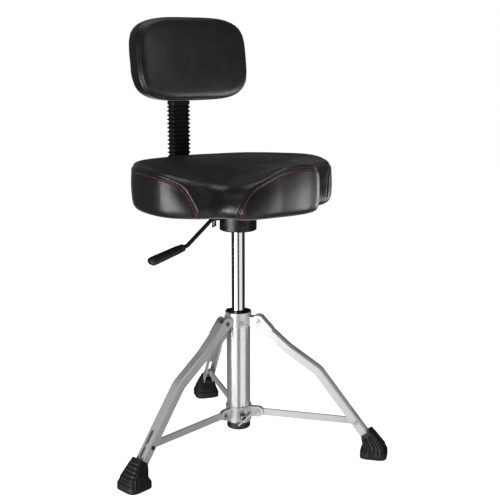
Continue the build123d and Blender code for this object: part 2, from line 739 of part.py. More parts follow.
def make_socket_bolt():
    """The cap screw in the front of the housing."""
    with BuildPart() as socket_bolt:
        with BuildSketch(facing_plane(PLATE_ANGLES["front"], 22, SOCKET_BOLT_HEIGHT)):
            Circle(SOCKET_BOLT_RADIUS)
        extrude(amount=SOCKET_RADIUS - 21)
        with BuildSketch(facing_plane(PLATE_ANGLES["front"], SOCKET_RADIUS, SOCKET_BOLT_HEIGHT)):
            Circle(5)
            RegularPolygon(2.9, 6, mode=Mode.SUBTRACT)
        extrude(amount=5)
        with BuildSketch(facing_plane(PLATE_ANGLES["front"], SOCKET_RADIUS, SOCKET_BOLT_HEIGHT)):
            Circle(4)
        extrude(amount=2)
    save(socket_bolt, "socket_bolt")


# ---------------------------------------------------------------- release lever

LEVER_PLANE = Plane(origin=(0, 0, 0), x_dir=(-1, 0, 0), z_dir=(0, 1, 0))


def make_lever_rod():
    with BuildPart() as lever_rod:
        with BuildLine(LEVER_PLANE) as line:
            FilletPolyline(*LEVER_POINTS, radius=LEVER_BEND_RADIUS)
        with BuildSketch(Plane(origin=line.line @ 0, z_dir=line.line % 0)):
            Circle(LEVER_ROD_RADIUS)
        sweep(path=line.line)
        with BuildSketch(LEVER_PLANE):
            with Locations((LEVER_PIVOT_DISTANCE, LEVER_HEIGHT)):
                Circle(LEVER_PIN_RADIUS + RUNNING_GAP)
        extrude(amount=10, both=True, mode=Mode.SUBTRACT)
    save(lever_rod, "lever_rod")


def make_lever_grip():
    """The plastic paddle on the lever's end."""
    bend, end = Vector(*LEVER_POINTS[2]), Vector(*LEVER_POINTS[3])
    run = (end - bend).normalized()
    start = bend + run * ((GRIP_START - bend.X) / run.X)
    middle = start + run * (GRIP_LENGTH / 2)
    grip_plane = Plane(
        origin=LEVER_PLANE.from_local_coords(middle),
        x_dir=LEVER_PLANE.from_local_coords(run),
        z_dir=(0, 1, 0),
    )
    with BuildPart() as lever_grip:
        with BuildSketch(grip_plane):
            RectangleRounded(GRIP_LENGTH, GRIP_THICKNESS, 6)
        extrude(amount=GRIP_WIDTH / 2, both=True)
        side_edges = lever_grip.edges().filter_by_position(Axis.Y, GRIP_WIDTH / 2 - 0.1, GRIP_WIDTH)
        side_edges += lever_grip.edges().filter_by_position(Axis.Y, -GRIP_WIDTH, 0.1 - GRIP_WIDTH / 2)
        fillet(side_edges, 4)
        bore_start = LEVER_PLANE.from_local_coords(start - run)
        with BuildSketch(Plane(origin=bore_start, z_dir=LEVER_PLANE.from_local_coords(run))):
            Circle(LEVER_ROD_RADIUS)
        extrude(amount=(end - start).length + 1.2, mode=Mode.SUBTRACT)
    save(lever_grip, "lever_grip")


def make_lever_pin():
    with BuildPart() as lever_pin:
        with BuildSketch(Plane.XZ):
            with Locations((-LEVER_PIVOT_DISTANCE, LEVER_HEIGHT)):
                Circle(LEVER_PIN_RADIUS)
        extrude(amount=12, both=True)
    save(lever_pin, "lever_pin")


# ---------------------------------------------------------------- backrest


def make_backrest_clamp():
    """An open-ended channel under the seat plate that the bar slides in."""
    inner_width = BAR_WIDTH + 0.4
    with BuildPart() as backrest_clamp:
        with BuildSketch(Plane.XY.offset(SEAT_PLATE_BOTTOM - CLAMP_DEPTH)):
            with Locations((0, CLAMP_CENTRE)):
                Rectangle(inner_width + 2 * CLAMP_WALL, CLAMP_LENGTH)
        extrude(amount=CLAMP_DEPTH)
        with BuildSketch(Plane.XY.offset(SEAT_PLATE_BOTTOM - CLAMP_DEPTH + CLAMP_WALL)):
            with Locations((0, CLAMP_CENTRE)):
                Rectangle(inner_width, CLAMP_LENGTH)
        extrude(amount=CLAMP_DEPTH, mode=Mode.SUBTRACT)
        with BuildSketch(Plane.XY.offset(SEAT_PLATE_BOTTOM - CLAMP_DEPTH)):
            with Locations((0, CLAMP_CENTRE)):
                Circle(BACK_SCREW_RADIUS + RUNNING_GAP)
        extrude(amount=CLAMP_WALL, mode=Mode.SUBTRACT)
    save(backrest_clamp, "backrest_clamp")


def make_backrest_wing_screw():
    """The wing screw below the clamp, which presses the bar against the seat plate."""
    tip = BAR_LINE[0][1] - BAR_THICKNESS / 2 - 0.1
    wing_top = 471
    with BuildPart() as backrest_wing_screw:
        with BuildSketch(Plane.XY.offset(wing_top - 9)):
            with Locations((0, CLAMP_CENTRE)):
                Circle(BACK_SCREW_RADIUS)
        extrude(amount=tip - wing_top + 9)
        along = (0.839, 0.545, 0)
        across = (0.545, -0.839, 0)
        with BuildSketch(Plane(origin=(0, CLAMP_CENTRE, 0), x_dir=along, z_dir=across)):
            with BuildLine():
                left_edge = ((-4, wing_top), (-11, wing_top + 1), (-12, wing_top - 13))
                right_edge = ((12, wing_top - 13), (11, wing_top + 1), (4, wing_top))
                Polyline(*left_edge, *right_edge, close=True)
            make_face()
        extrude(amount=1.8, both=True)
    save(backrest_wing_screw, "backrest_wing_screw")


def make_backrest_bar():
    """The flat bar, forwards under the seat and up behind it."""
    with BuildPart() as backrest_bar:
        with BuildLine(Plane.YZ) as line:
            FilletPolyline(*BAR_LINE, radius=BAR_BEND_RADIUS)
        with BuildSketch(Plane(origin=line.line @ 0, x_dir=(1, 0, 0), z_dir=line.line % 0)):
            Rectangle(BAR_WIDTH, BAR_THICKNESS)
        sweep(path=line.line)
    save(backrest_bar, "backrest_bar")


def make_bellows():
    """The ribbed rubber sleeve round the bar, between seat and pad."""
    with BuildPart() as bellows:
        with BuildSketch(Plane.XY.offset(BELLOWS_BOTTOM)):
            with Locations((0, BAR_LINE[1][0])):
                RectangleRounded(BELLOWS_WIDTH, BELLOWS_DEPTH, 3)
                Rectangle(BAR_WIDTH + 1, BAR_THICKNESS + 1, mode=Mode.SUBTRACT)
        extrude(amount=BELLOWS_TOP - BELLOWS_BOTTOM)
    save(bellows, "bellows")


def pad_plane(depth):
    """The pad's upright plane, leaning back. Depth runs forwards from the back board's front face."""
    tilt = radians(PAD_TILT)
    return Plane(
        origin=(0, PAD_CENTRE[0], PAD_CENTRE[1]),
        x_dir=(1, 0, 0),
        z_dir=(0, -cos(tilt), sin(tilt)),
    ).offset(depth)


def make_backrest_pad():
    with BuildPart() as backrest_pad:
        with BuildSketch(pad_plane(0)):
            RectangleRounded(PAD_WIDTH, PAD_HEIGHT, PAD_CORNER)
        extrude(amount=PAD_THICKNESS)
        front_face = backrest_pad.faces().sort_by(Axis.Y)[0]
        fillet(front_face.edges(), PAD_EDGE_ROUND)
    save(backrest_pad, "backrest_pad")


def make_backrest_board():
    """The stiff back of the pad, with holes for the bracket's screws."""
    width = PAD_WIDTH - 2 * BACK_BOARD_INSET
    height = PAD_HEIGHT - 2 * BACK_BOARD_INSET
    with BuildPart() as backrest_board:
        with BuildSketch(pad_plane(-BACK_BOARD_THICKNESS)):
            RectangleRounded(width, height, PAD_CORNER - BACK_BOARD_INSET)
            with GridLocations(*PAD_SCREW_SPACING, 2, 2):
                Circle(2, mode=Mode.SUBTRACT)
        extrude(amount=BACK_BOARD_THICKNESS)
    save(backrest_board, "backrest_board")


def make_pad_bracket():
    """The sleeve that slides on the bar, on a plate screwed to the back board."""
    sleeve_front = BAR_FRONT - SLEEVE_GAP - SLEEVE_WALL
    sleeve_back = BAR_BACK + SLEEVE_GAP + SLEEVE_WALL
    outer_width = BAR_WIDTH + 2 * (SLEEVE_GAP + SLEEVE_WALL)
    board_back = pad_plane(-BACK_BOARD_THICKNESS)
    with BuildPart() as pad_bracket:
        with BuildSketch(board_back):
            RectangleRounded(PAD_SCREW_SPACING[0] + 16, PAD_SCREW_SPACING[1] + 16, 6)
            with GridLocations(*PAD_SCREW_SPACING, 2, 2):
                Circle(2, mode=Mode.SUBTRACT)
        extrude(amount=-2)
        lean = tan(radians(PAD_TILT))
        plate_back = board_back.offset(-1).origin.Y
        with BuildSketch(Plane.YZ):
            with BuildLine():
                Polyline(
                    (plate_back + lean * (SLEEVE_BOTTOM - PAD_CENTRE[1]), SLEEVE_BOTTOM),
                    (sleeve_back, SLEEVE_BOTTOM),
                    (sleeve_back, SLEEVE_TOP),
                    (plate_back + lean * (SLEEVE_TOP - PAD_CENTRE[1]), SLEEVE_TOP),
                    close=True,
                )
            make_face()
        extrude(amount=outer_width / 2, both=True)
        with BuildSketch(Plane.XY.offset(SLEEVE_BOTTOM - 1)):
            with Locations((0, BAR_LINE[1][0])):
                Rectangle(BAR_WIDTH + 2 * SLEEVE_GAP, BAR_THICKNESS + 2 * SLEEVE_GAP)
        extrude(amount=SLEEVE_TOP - SLEEVE_BOTTOM + 2, mode=Mode.SUBTRACT)
        with BuildSketch(Plane.XZ.offset(-sleeve_back - 1)):
            with Locations((0, KNOB_HEIGHT)):
                Circle(KNOB_SHAFT_RADIUS + RUNNING_GAP)
        extrude(amount=SLEEVE_WALL + 2, mode=Mode.SUBTRACT)
        chamfer(pad_bracket.faces().sort_by(Axis.Z)[-1].outer_wire().edges().sort_by(Axis.Y)[-1], 1)
    save(pad_bracket, "pad_bracket")


def make_pad_screws():
    with BuildPart() as pad_screws:
        with BuildSketch(pad_plane(-BACK_BOARD_THICKNESS - 2)):
            with GridLocations(*PAD_SCREW_SPACING, 2, 2):
                Circle(2)
        extrude(amount=BACK_BOARD_THICKNESS + 2)
        with BuildSketch(pad_plane(-BACK_BOARD_THICKNESS - 2)):
            with GridLocations(*PAD_SCREW_SPACING, 2, 2):
                Circle(4)
        extrude(amount=-1.8)
    save(pad_screws, "pad_screws")


def make_pad_knob():
    """The clamp knob behind the sleeve: a lobed head on a threaded shaft."""
    sleeve_back = BAR_BACK + SLEEVE_GAP + SLEEVE_WALL
    head_start = sleeve_back + 1
    lobes = 7
    with BuildPart() as pad_knob:
        with BuildSketch(Plane.XZ.offset(-BAR_BACK - 0.05)):
            with Locations((0, KNOB_HEIGHT)):
                Circle(KNOB_SHAFT_RADIUS)
        extrude(amount=BAR_BACK + 0.05 - head_start)
        with BuildSketch(Plane.XZ.offset(-head_start)):
            with Locations((0, KNOB_HEIGHT)):
                Circle(KNOB_RADIUS)
                with PolarLocations(KNOB_RADIUS + 1, lobes):
                    Circle(3.5, mode=Mode.SUBTRACT)
        extrude(amount=-KNOB_LENGTH)
        fillet(pad_knob.faces().sort_by(Axis.Y)[-1].edges(), 1.5)
    save(pad_knob, "pad_knob")


# ---------------------------------------------------------------- build everything

make_outer_tube()
make_tube_end_cap()
make_guide_bush()
make_bearing_parts()
make_piston_rod()
make_rod_fittings()
make_gas_column()
make_column_fittings()
make_collar_plates()
make_collar_screws()
make_leg_pivot_rivets()
make_leg_pivot_spacers()
make_strut_pivot_rivets()
make_collar_wing_screw()
make_collar_nut()
for leg_name, leg_angle in LEG_ANGLES.items():
    make_leg(leg_name, leg_angle)
    make_strut(leg_name, leg_angle)
    make_strut_rivets(leg_name, leg_angle)
    make_foot(leg_name, leg_angle)
make_seat_cushion()
make_seat_board()
make_tee_nuts()
make_plate_bolts()
make_seat_plate()
make_column_socket()
make_socket_bolt()
make_lever_rod()
make_lever_grip()
make_lever_pin()
make_backrest_clamp()
make_backrest_wing_screw()
make_backrest_bar()
make_bellows()
make_backrest_pad()
make_backrest_board()
make_pad_bracket()
make_pad_screws()
make_pad_knob()
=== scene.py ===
"""Looks of the drum throne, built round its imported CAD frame. Metres, +Z up, the seat facing -Y."""

import json
import math

import bpy
import numpy as np
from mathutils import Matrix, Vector
from mathutils.bvhtree import BVHTree
from mathutils.kdtree import KDTree


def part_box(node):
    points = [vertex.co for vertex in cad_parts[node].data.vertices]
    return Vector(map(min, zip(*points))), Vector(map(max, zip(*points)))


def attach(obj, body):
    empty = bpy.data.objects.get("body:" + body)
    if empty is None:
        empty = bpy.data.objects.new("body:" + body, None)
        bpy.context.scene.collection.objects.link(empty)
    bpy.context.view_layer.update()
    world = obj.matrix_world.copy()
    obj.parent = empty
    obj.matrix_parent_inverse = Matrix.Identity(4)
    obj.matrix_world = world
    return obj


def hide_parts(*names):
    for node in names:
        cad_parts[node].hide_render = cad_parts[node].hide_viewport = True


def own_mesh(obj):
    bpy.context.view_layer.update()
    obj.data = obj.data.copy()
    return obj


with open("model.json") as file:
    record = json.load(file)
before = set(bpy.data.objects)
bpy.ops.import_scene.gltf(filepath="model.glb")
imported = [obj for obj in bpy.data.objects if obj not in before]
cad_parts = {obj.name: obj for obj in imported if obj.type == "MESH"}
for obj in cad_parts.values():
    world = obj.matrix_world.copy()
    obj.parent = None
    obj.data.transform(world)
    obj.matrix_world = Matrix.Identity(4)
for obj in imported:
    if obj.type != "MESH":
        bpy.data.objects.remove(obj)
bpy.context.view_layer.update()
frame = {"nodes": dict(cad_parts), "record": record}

# ---------------------------------------------------------------- camera and studio

CAMERA_AZIMUTH = -33.0
CAMERA_DISTANCE = 1.8389
CAMERA_HEIGHT = 0.8253
CAMERA_PITCH = -12.29
CAMERA_YAW = 0.76
LENS_MM = 65.6

# What the soft boxes are aimed at.
SEAT_CENTRE = (0, 0, 0.56)
STAND_CENTRE = (0, 0, 0.2)

# The covered pieces, which some of the soft boxes light alone.
UPHOLSTERY = bpy.data.collections.new("upholstery")


def direction(azimuth):
    """The level unit vector at an azimuth: 0 is the seat's front, positive towards +X."""
    turn = math.radians(azimuth)
    return Vector((math.sin(turn), -math.cos(turn), 0))


def make_camera():
    data = bpy.data.cameras.new("camera")
    data.sensor_width = 36
    data.lens = LENS_MM
    data.clip_end = 100
    camera = bpy.data.objects.new("camera", data)
    bpy.context.scene.collection.objects.link(camera)
    camera.location = direction(CAMERA_AZIMUTH) * CAMERA_DISTANCE + Vector((0, 0, CAMERA_HEIGHT))
    turn = math.radians(CAMERA_AZIMUTH - CAMERA_YAW)
    camera.rotation_euler = (math.radians(90 + CAMERA_PITCH), 0, turn)
    bpy.context.scene.camera = camera


def add_area_light(name, azimuth, distance, height, size, power, target, only=None):
    """A soft box at an azimuth from the camera, aimed at a target. It may light one collection only."""
    data = bpy.data.lights.new(name, "AREA")
    data.shape = "RECTANGLE"
    data.size = size[0]
    data.size_y = size[1]
    data.energy = power
    light = bpy.data.objects.new(name, data)
    light.location = direction(CAMERA_AZIMUTH + azimuth) * distance + Vector((0, 0, height))
    light.rotation_euler = (Vector(target) - light.location).to_track_quat("-Z", "Y").to_euler()
    light.visible_camera = False
    light.light_linking.receiver_collection = only
    bpy.context.scene.collection.objects.link(light)
    return light


def ramp_round(tree, stops):
    """A grey by the azimuth from the camera that a ray goes in, and the ray's upward part."""
    nodes, links = tree.nodes, tree.links
    place = nodes.new("ShaderNodeTexCoord")
    turned = nodes.new("ShaderNodeVectorRotate")
    turned.rotation_type = "Z_AXIS"
    turned.inputs["Angle"].default_value = -math.radians(CAMERA_AZIMUTH)
    axes = nodes.new("ShaderNodeSeparateXYZ")
    flip = nodes.new("ShaderNodeMath")
    flip.operation = "MULTIPLY"
    flip.inputs[1].default_value = -1
    angle = nodes.new("ShaderNodeMath")
    angle.operation = "ARCTAN2"
    share = nodes.new("ShaderNodeMapRange")
    share.inputs["From Min"].default_value = -math.pi
    share.inputs["From Max"].default_value = math.pi
    ramp = nodes.new("ShaderNodeValToRGB")
    links.new(place.outputs["Generated"], turned.inputs["Vector"])
    links.new(turned.outputs["Vector"], axes.inputs[0])
    links.new(axes.outputs["Y"], flip.inputs[0])
    links.new(axes.outputs["X"], angle.inputs[0])
    links.new(flip.outputs[0], angle.inputs[1])
    links.new(angle.outputs[0], share.inputs["Value"])
    links.new(share.outputs["Result"], ramp.inputs["Fac"])
    fill_ramp(ramp, [((azimuth + 180) / 360, level) for azimuth, level in stops])
    return ramp.outputs["Color"], axes.outputs["Z"]


def fill_ramp(ramp, stops):
    elements = ramp.color_ramp.elements
    while len(elements) < len(stops):
        elements.new(0.5)
    for element, (position, level) in zip(elements, stops):
        element.position = position
        element.color = (level, level, level, 1)


# Brightness of the studio below eye level by azimuth from the camera: pale walls with three dark gaps.
ROOM_ROUND = [
    (-180, 0.7), (-162, 0.7), (-154, 0.03), (-72, 0.03), (-64, 0.9), (-14, 0.9), (-8, 0.05),
    (13, 0.05), (19, 0.9), (66, 0.9), (74, 0.03), (154, 0.03), (162, 0.7), (180, 0.7),
]
ROOM_ABOVE = 0.022
# The upward part of a ray's direction over which the walls give way to the dim room above.
WALL_TOP = (-0.16, -0.05)

# The colour sockets of a Mix node, whose names it shares with its other kinds.
MIX_COLOR_SOCKETS = (0, 6, 7)
MIX_COLOR_RESULT = 2


def make_studio():
    """White backdrop for the camera. Reflections see pale walls below eye level and a dim room above."""
    scene = bpy.context.scene
    scene.view_settings.view_transform = "Standard"
    world = bpy.data.worlds.new("studio")
    scene.world = world
    world.use_nodes = True
    tree = world.node_tree
    nodes, links = tree.nodes, tree.links
    nodes.clear()
    output = nodes.new("ShaderNodeOutputWorld")
    backdrop = nodes.new("ShaderNodeBackground")
    backdrop.inputs["Color"].default_value = (1, 1, 1, 1)
    backdrop.inputs["Strength"].default_value = 1.0
    walls = nodes.new("ShaderNodeBackground")
    around, height = ramp_round(tree, ROOM_ROUND)
    above = nodes.new("ShaderNodeMapRange")
    above.inputs["From Min"].default_value = WALL_TOP[0]
    above.inputs["From Max"].default_value = WALL_TOP[1]
    links.new(height, above.inputs["Value"])
    blend = nodes.new("ShaderNodeMix")
    blend.data_type = "RGBA"
    factor, low, high = (blend.inputs[i] for i in MIX_COLOR_SOCKETS)
    links.new(above.outputs["Result"], factor)
    links.new(around, low)
    high.default_value = (ROOM_ABOVE, ROOM_ABOVE, ROOM_ABOVE, 1)
    links.new(blend.outputs[MIX_COLOR_RESULT], walls.inputs["Color"])
    path = nodes.new("ShaderNodeLightPath")
    mix = nodes.new("ShaderNodeMixShader")
    links.new(path.outputs["Is Camera Ray"], mix.inputs[0])
    links.new(walls.outputs[0], mix.inputs[1])
    links.new(backdrop.outputs[0], mix.inputs[2])
    links.new(mix.outputs[0], output.inputs["Surface"])


# Each soft box: azimuth from the camera, distance, height of its middle, its two sides, power.
SHARED_BOXES = {
    "left_box": (-47, 1.9, 0.20, (1.2, 1.0), 34),
    "top_box": (0, 0.2, 2.60, (1.6, 1.6), 20),
}
UPHOLSTERY_BOXES = {
    "right_box": (79, 1.9, 0.00, (0.75, 0.75), 16),
    "rim_box": (124, 1.9, 0.15, (0.5, 0.7), 8),
    "back_box": (180, 1.6, 1.60, (1.4, 0.16), 0.8),
    "pad_box": (47, 1.9, 1.42, (0.6, 0.8), 3.0),
}
STAND_FILL = (62, 1.9, 0.30, (0.8, 0.8), 20)


def light_studio():
    """The boxes show in reflections. The fill doesn't: it only lifts the stand's shaded sides."""
    fill = add_area_light("stand_fill", *STAND_FILL, STAND_CENTRE)
    fill.visible_glossy = False
    for name, box in SHARED_BOXES.items():
        add_area_light(name, *box, SEAT_CENTRE)
    for name, box in UPHOLSTERY_BOXES.items():
        add_area_light(name, *box, SEAT_CENTRE, UPHOLSTERY)


# ---------------------------------------------------------------- mesh helpers


def link_mesh(name, vertices, faces, smooth=True):
    mesh = bpy.data.meshes.new(name)
    mesh.from_pydata([tuple(v) for v in vertices], [], faces)
    mesh.update()
    if smooth:
        mesh.shade_smooth()
    obj = bpy.data.objects.new(name, mesh)
    bpy.context.scene.collection.objects.link(obj)
    return obj


def loft(name, loops, smooth=True):
    """Skin a list of equally long closed loops of points, with a fan over each end."""
    count = len(loops[0])
    vertices = [p for loop in loops for p in loop]
    faces = []
    for row in range(len(loops) - 1):
        a, b = row * count, (row + 1) * count
        faces += [(a + i, a + (i + 1) % count, b + (i + 1) % count, b + i) for i in range(count)]
    for loop, start, flip in ((loops[0], 0, True), (loops[-1], (len(loops) - 1) * count, False)):
        centre = sum((Vector(p) for p in loop), Vector()) / count
        vertices.append(centre)
        hub = len(vertices) - 1
        for i in range(count):
            a, b = start + i, start + (i + 1) % count
            faces.append((hub, b, a) if flip else (hub, a, b))
    obj = link_mesh(name, vertices, faces, smooth)
    fix_normals(obj)
    return obj


def fix_normals(obj):
    """Point the faces of a closed mesh outwards."""
    mesh = obj.data
    mesh.calc_loop_triangles()
    volume = 0.0
    for t in mesh.loop_triangles:
        a, b, c = (mesh.vertices[i].co for i in t.vertices)
        volume += a.dot(b.cross(c))
    if volume < 0:
        mesh.flip_normals()


def superellipse(half_x, half_y, power, count):
    """Points round a rounded rectangle, which grows squarer with the power."""
    points = []
    for i in range(count):
        turn = 2 * math.pi * i / count
        c, s = math.cos(turn), math.sin(turn)
        points.append((
            half_x * math.copysign(abs(c) ** (2 / power), c),
            half_y * math.copysign(abs(s) ** (2 / power), s),
        ))
    return points


def smoothstep(low, high, value):
    t = min(1.0, max(0.0, (value - low) / (high - low)))
    return t * t * (3 - 2 * t)


def apply_modifiers(obj):
    """Replace an object's mesh by what its modifiers make of it."""
    graph = bpy.context.evaluated_depsgraph_get()
    mesh = bpy.data.meshes.new_from_object(obj.evaluated_get(graph))
    obj.modifiers.clear()
    obj.data = mesh
    mesh.shade_smooth()


def coordinates(obj):
    flat = np.empty(len(obj.data.vertices) * 3)
    obj.data.vertices.foreach_get("co", flat)
    return flat.reshape(-1, 3)


def set_coordinates(obj, points):
    obj.data.vertices.foreach_set("co", np.asarray(points, float).ravel())
    obj.data.update()


def remesh(obj, voxel):
    modifier = obj.modifiers.new("remesh", "REMESH")
    modifier.mode = "VOXEL"
    modifier.voxel_size = voxel
    apply_modifiers(obj)


def subdivide(obj, levels):
    modifier = obj.modifiers.new("smooth", "SUBSURF")
    modifier.levels = levels
    modifier.render_levels = levels
    apply_modifiers(obj)


def seam_distance(points, seam_points):
    """Each point's distance from the nearest point of the seams."""
    tree = KDTree(len(seam_points))
    for i, p in enumerate(seam_points):
        tree.insert(p, i)
    tree.balance()
    return np.array([tree.find(p)[2] for p in points])


# Share of a point's own move that it keeps when it is eased towards its neighbours' mean move.
OWN_SHARE = 0.4
HELD_SHARE = 0.2


def spread_evenly(obj, moved, held, rounds):
    """Ease sharp changes between neighbouring points' moves: small puckers go and broad swells stay."""
    edges = np.empty(len(obj.data.edges) * 2, dtype=np.int64)
    obj.data.edges.foreach_get("vertices", edges)
    a, b = edges.reshape(-1, 2).T
    count = np.bincount(np.concatenate([a, b]), minlength=len(moved))[:, None]
    for _ in range(rounds):
        total = np.zeros_like(moved)
        np.add.at(total, a, moved[b])
        np.add.at(total, b, moved[a])
        moved = OWN_SHARE * moved + (1 - OWN_SHARE) * total / np.maximum(count, 1)
        moved[held] *= HELD_SHARE
    return moved


SEAM_HOLD = 0.006
CLOTH_FRAMES = 20


def puff(obj, seams, pressure, cap, ease, free_from=0.0):
    """Blow the cover up between its seams by cloth simulation, and keep the result in the mesh."""
    rest = coordinates(obj)
    distance = seam_distance(rest, seams)
    group = obj.vertex_groups.new(name="held")
    for index, (away, point) in enumerate(zip(distance, rest)):
        if away < SEAM_HOLD or point[2] < free_from:
            group.add([index], 1.0, "REPLACE")
    cloth = obj.modifiers.new("cover", "CLOTH")
    settings = cloth.settings
    settings.quality = 6
    settings.mass = 0.3
    settings.tension_stiffness = 25
    settings.compression_stiffness = 25
    settings.shear_stiffness = 15
    settings.bending_stiffness = 4
    settings.use_pressure = True
    settings.uniform_pressure_force = pressure
    settings.effector_weights.gravity = 0
    settings.vertex_group_mass = "held"
    cloth.collision_settings.use_collision = False
    scene = bpy.context.scene
    for number in range(1, CLOTH_FRAMES + 1):
        scene.frame_set(number)
    apply_modifiers(obj)
    scene.frame_set(1)
    moved = spread_evenly(obj, coordinates(obj) - rest, distance < SEAM_HOLD, ease)
    length = np.linalg.norm(moved, axis=1, keepdims=True)
    set_coordinates(obj, rest + moved * np.minimum(1, cap / np.maximum(length, 1e-9)))
    obj.vertex_groups.clear()


# How far from a seam the roll beside it lies, and how wide it is, in seam widths.
ROLL_AWAY = 2.6
ROLL_WIDTH = 1.3


def press_seam(obj, seams, depth, width, shoulder):
    """Pull the cover in along a seam, with a slight roll beside it."""
    points = coordinates(obj)
    normals = np.array([v.normal for v in obj.data.vertices])
    distance = seam_distance(points, seams)
    push = -depth * np.exp(-((distance / width) ** 2))
    push += shoulder * np.exp(-(((distance - ROLL_AWAY * width) / (ROLL_WIDTH * width)) ** 2))
    set_coordinates(obj, points + normals * push[:, None])


def surface_tree(obj):
    obj.data.calc_loop_triangles()
    points = [v.co.copy() for v in obj.data.vertices]
    return BVHTree.FromPolygons(points, [tuple(t.vertices) for t in obj.data.loop_triangles])


def resample(points, spacing, closed=False):
    """Points along a polyline at an even spacing."""
    line = [Vector(p) for p in points]
    if closed:
        line.append(line[0])
    lengths = [0.0]
    for a, b in zip(line, line[1:]):
        lengths.append(lengths[-1] + (b - a).length)
    count = max(2, int(round(lengths[-1] / spacing)))
    result = []
    segment = 0
    for i in range(count + (0 if closed else 1)):
        at = lengths[-1] * i / count
        while segment < len(line) - 2 and lengths[segment + 1] < at:
            segment += 1
        span = max(1e-9, lengths[segment + 1] - lengths[segment])
        result.append(line[segment].lerp(line[segment + 1], (at - lengths[segment]) / span))
    return result


def catmull(points, steps=12):
    """A smooth line through control points."""
    p = [Vector(points[0])] + [Vector(q) for q in points] + [Vector(points[-1])]
    line = []
    for i in range(1, len(p) - 2):
        for step in range(steps):
            t = step / steps
            a, b, c, d = p[i - 1], p[i], p[i + 1], p[i + 2]
            line.append(0.5 * (2 * b + (c - a) * t + (2 * a - 5 * b + 4 * c - d) * t**2
                               + (3 * b - a - 3 * c + d) * t**3))
    line.append(p[-2])
    return line


STITCH_LENGTH = 0.0042
STITCH_GAP = 0.0014
STITCH_RADIUS = 0.00055
STITCH_LIFT = 0.0002
STITCH_SIDES = 6
# Share of the half length, and of the radius there.
STITCH_RINGS = ((-1.0, 0.25), (-0.8, 0.75), (-0.45, 1.0), (0.45, 1.0), (0.8, 0.75), (1.0, 0.25))


def stitch_ring(centre, side, normal, radius):
    """Points round a thread, a little flattened on the surface."""
    turns = [2 * math.pi * k / STITCH_SIDES for k in range(STITCH_SIDES)]
    return [centre + (side * math.cos(t) + normal * math.sin(t) * 0.8) * radius for t in turns]


def make_stitches(name, tree, lines):
    """One mesh of short rounded threads that lie on a surface along each line."""
    vertices = []
    faces = []
    for line in lines:
        marks = resample(line, STITCH_LENGTH + STITCH_GAP)
        for a, b in zip(marks, marks[1:]):
            middle = (a + b) / 2
            run = (b - a).normalized()
            place, normal, _, _ = tree.find_nearest(middle)
            run = (run - normal * run.dot(normal)).normalized()
            side = normal.cross(run)
            base = len(vertices)
            for along, scale in STITCH_RINGS:
                arch = STITCH_LIFT * (1 - 0.9 * along * along)
                centre = place + run * (along * STITCH_LENGTH / 2) + normal * arch
                vertices += stitch_ring(centre, side, normal, STITCH_RADIUS * scale)
            for ring in range(len(STITCH_RINGS) - 1):
                p, q = base + ring * STITCH_SIDES, base + (ring + 1) * STITCH_SIDES
                for k in range(STITCH_SIDES):
                    after = (k + 1) % STITCH_SIDES
                    faces.append((p + k, p + after, q + after, q + k))
            faces.append(tuple(base + k for k in reversed(range(STITCH_SIDES))))
            last = base + (len(STITCH_RINGS) - 1) * STITCH_SIDES
            faces.append(tuple(last + k for k in range(STITCH_SIDES)))
    return link_mesh(name, vertices, faces)


# ---------------------------------------------------------------- materials


def new_material(name, color, roughness, metallic=0.0):
    material = bpy.data.materials.new(name)
    material.use_nodes = True
    shader = material.node_tree.nodes["Principled BSDF"]
    shader.inputs["Base Color"].default_value = (*color, 1)
    shader.inputs["Roughness"].default_value = roughness
    shader.inputs["Metallic"].default_value = metallic
    material.diffuse_color = (*color, 1)
    return material


def add_node(material, kind, **inputs):
    node = material.node_tree.nodes.new(kind)
    for key, value in inputs.items():
        node.inputs[key.replace("_", " ")].default_value = value
    return node


def object_coordinates(material, scale=(1, 1, 1)):
    """The piece's own coordinates, stretched along its axes."""
    place = add_node(material, "ShaderNodeTexCoord")
    mapping = add_node(material, "ShaderNodeMapping")
    mapping.inputs["Scale"].default_value = scale
    material.node_tree.links.new(place.outputs["Object"], mapping.inputs["Vector"])
    return mapping.outputs["Vector"]


def noise(material, scale, detail=4.0, roughness=0.55, stretch=(1, 1, 1)):
    node = add_node(material, "ShaderNodeTexNoise", Scale=scale, Detail=detail, Roughness=roughness)
    material.node_tree.links.new(object_coordinates(material, stretch), node.inputs["Vector"])
    return node.outputs["Fac"]


# The stretch of a noise pattern's values over which a shader input goes from one end to the other.
PATTERN_LOW = 0.3
PATTERN_HIGH = 0.7


def vary_color(material, pattern, low, high):
    """Blend the base colour between two colours by a pattern."""
    shader = material.node_tree.nodes["Principled BSDF"]
    ramp = add_node(material, "ShaderNodeValToRGB")
    ramp.color_ramp.elements[0].position = PATTERN_LOW
    ramp.color_ramp.elements[1].position = PATTERN_HIGH
    ramp.color_ramp.elements[0].color = (*low, 1)
    ramp.color_ramp.elements[1].color = (*high, 1)
    material.node_tree.links.new(pattern, ramp.inputs["Fac"])
    material.node_tree.links.new(ramp.outputs["Color"], shader.inputs["Base Color"])


def vary_roughness(material, pattern, low, high):
    """Drive the roughness between two values by a pattern."""
    shader = material.node_tree.nodes["Principled BSDF"]
    ranged = add_node(material, "ShaderNodeMapRange")
    ranged.inputs["From Min"].default_value = PATTERN_LOW
    ranged.inputs["From Max"].default_value = PATTERN_HIGH
    ranged.inputs["To Min"].default_value = low
    ranged.inputs["To Max"].default_value = high
    material.node_tree.links.new(pattern, ranged.inputs["Value"])
    material.node_tree.links.new(ranged.outputs["Result"], shader.inputs["Roughness"])


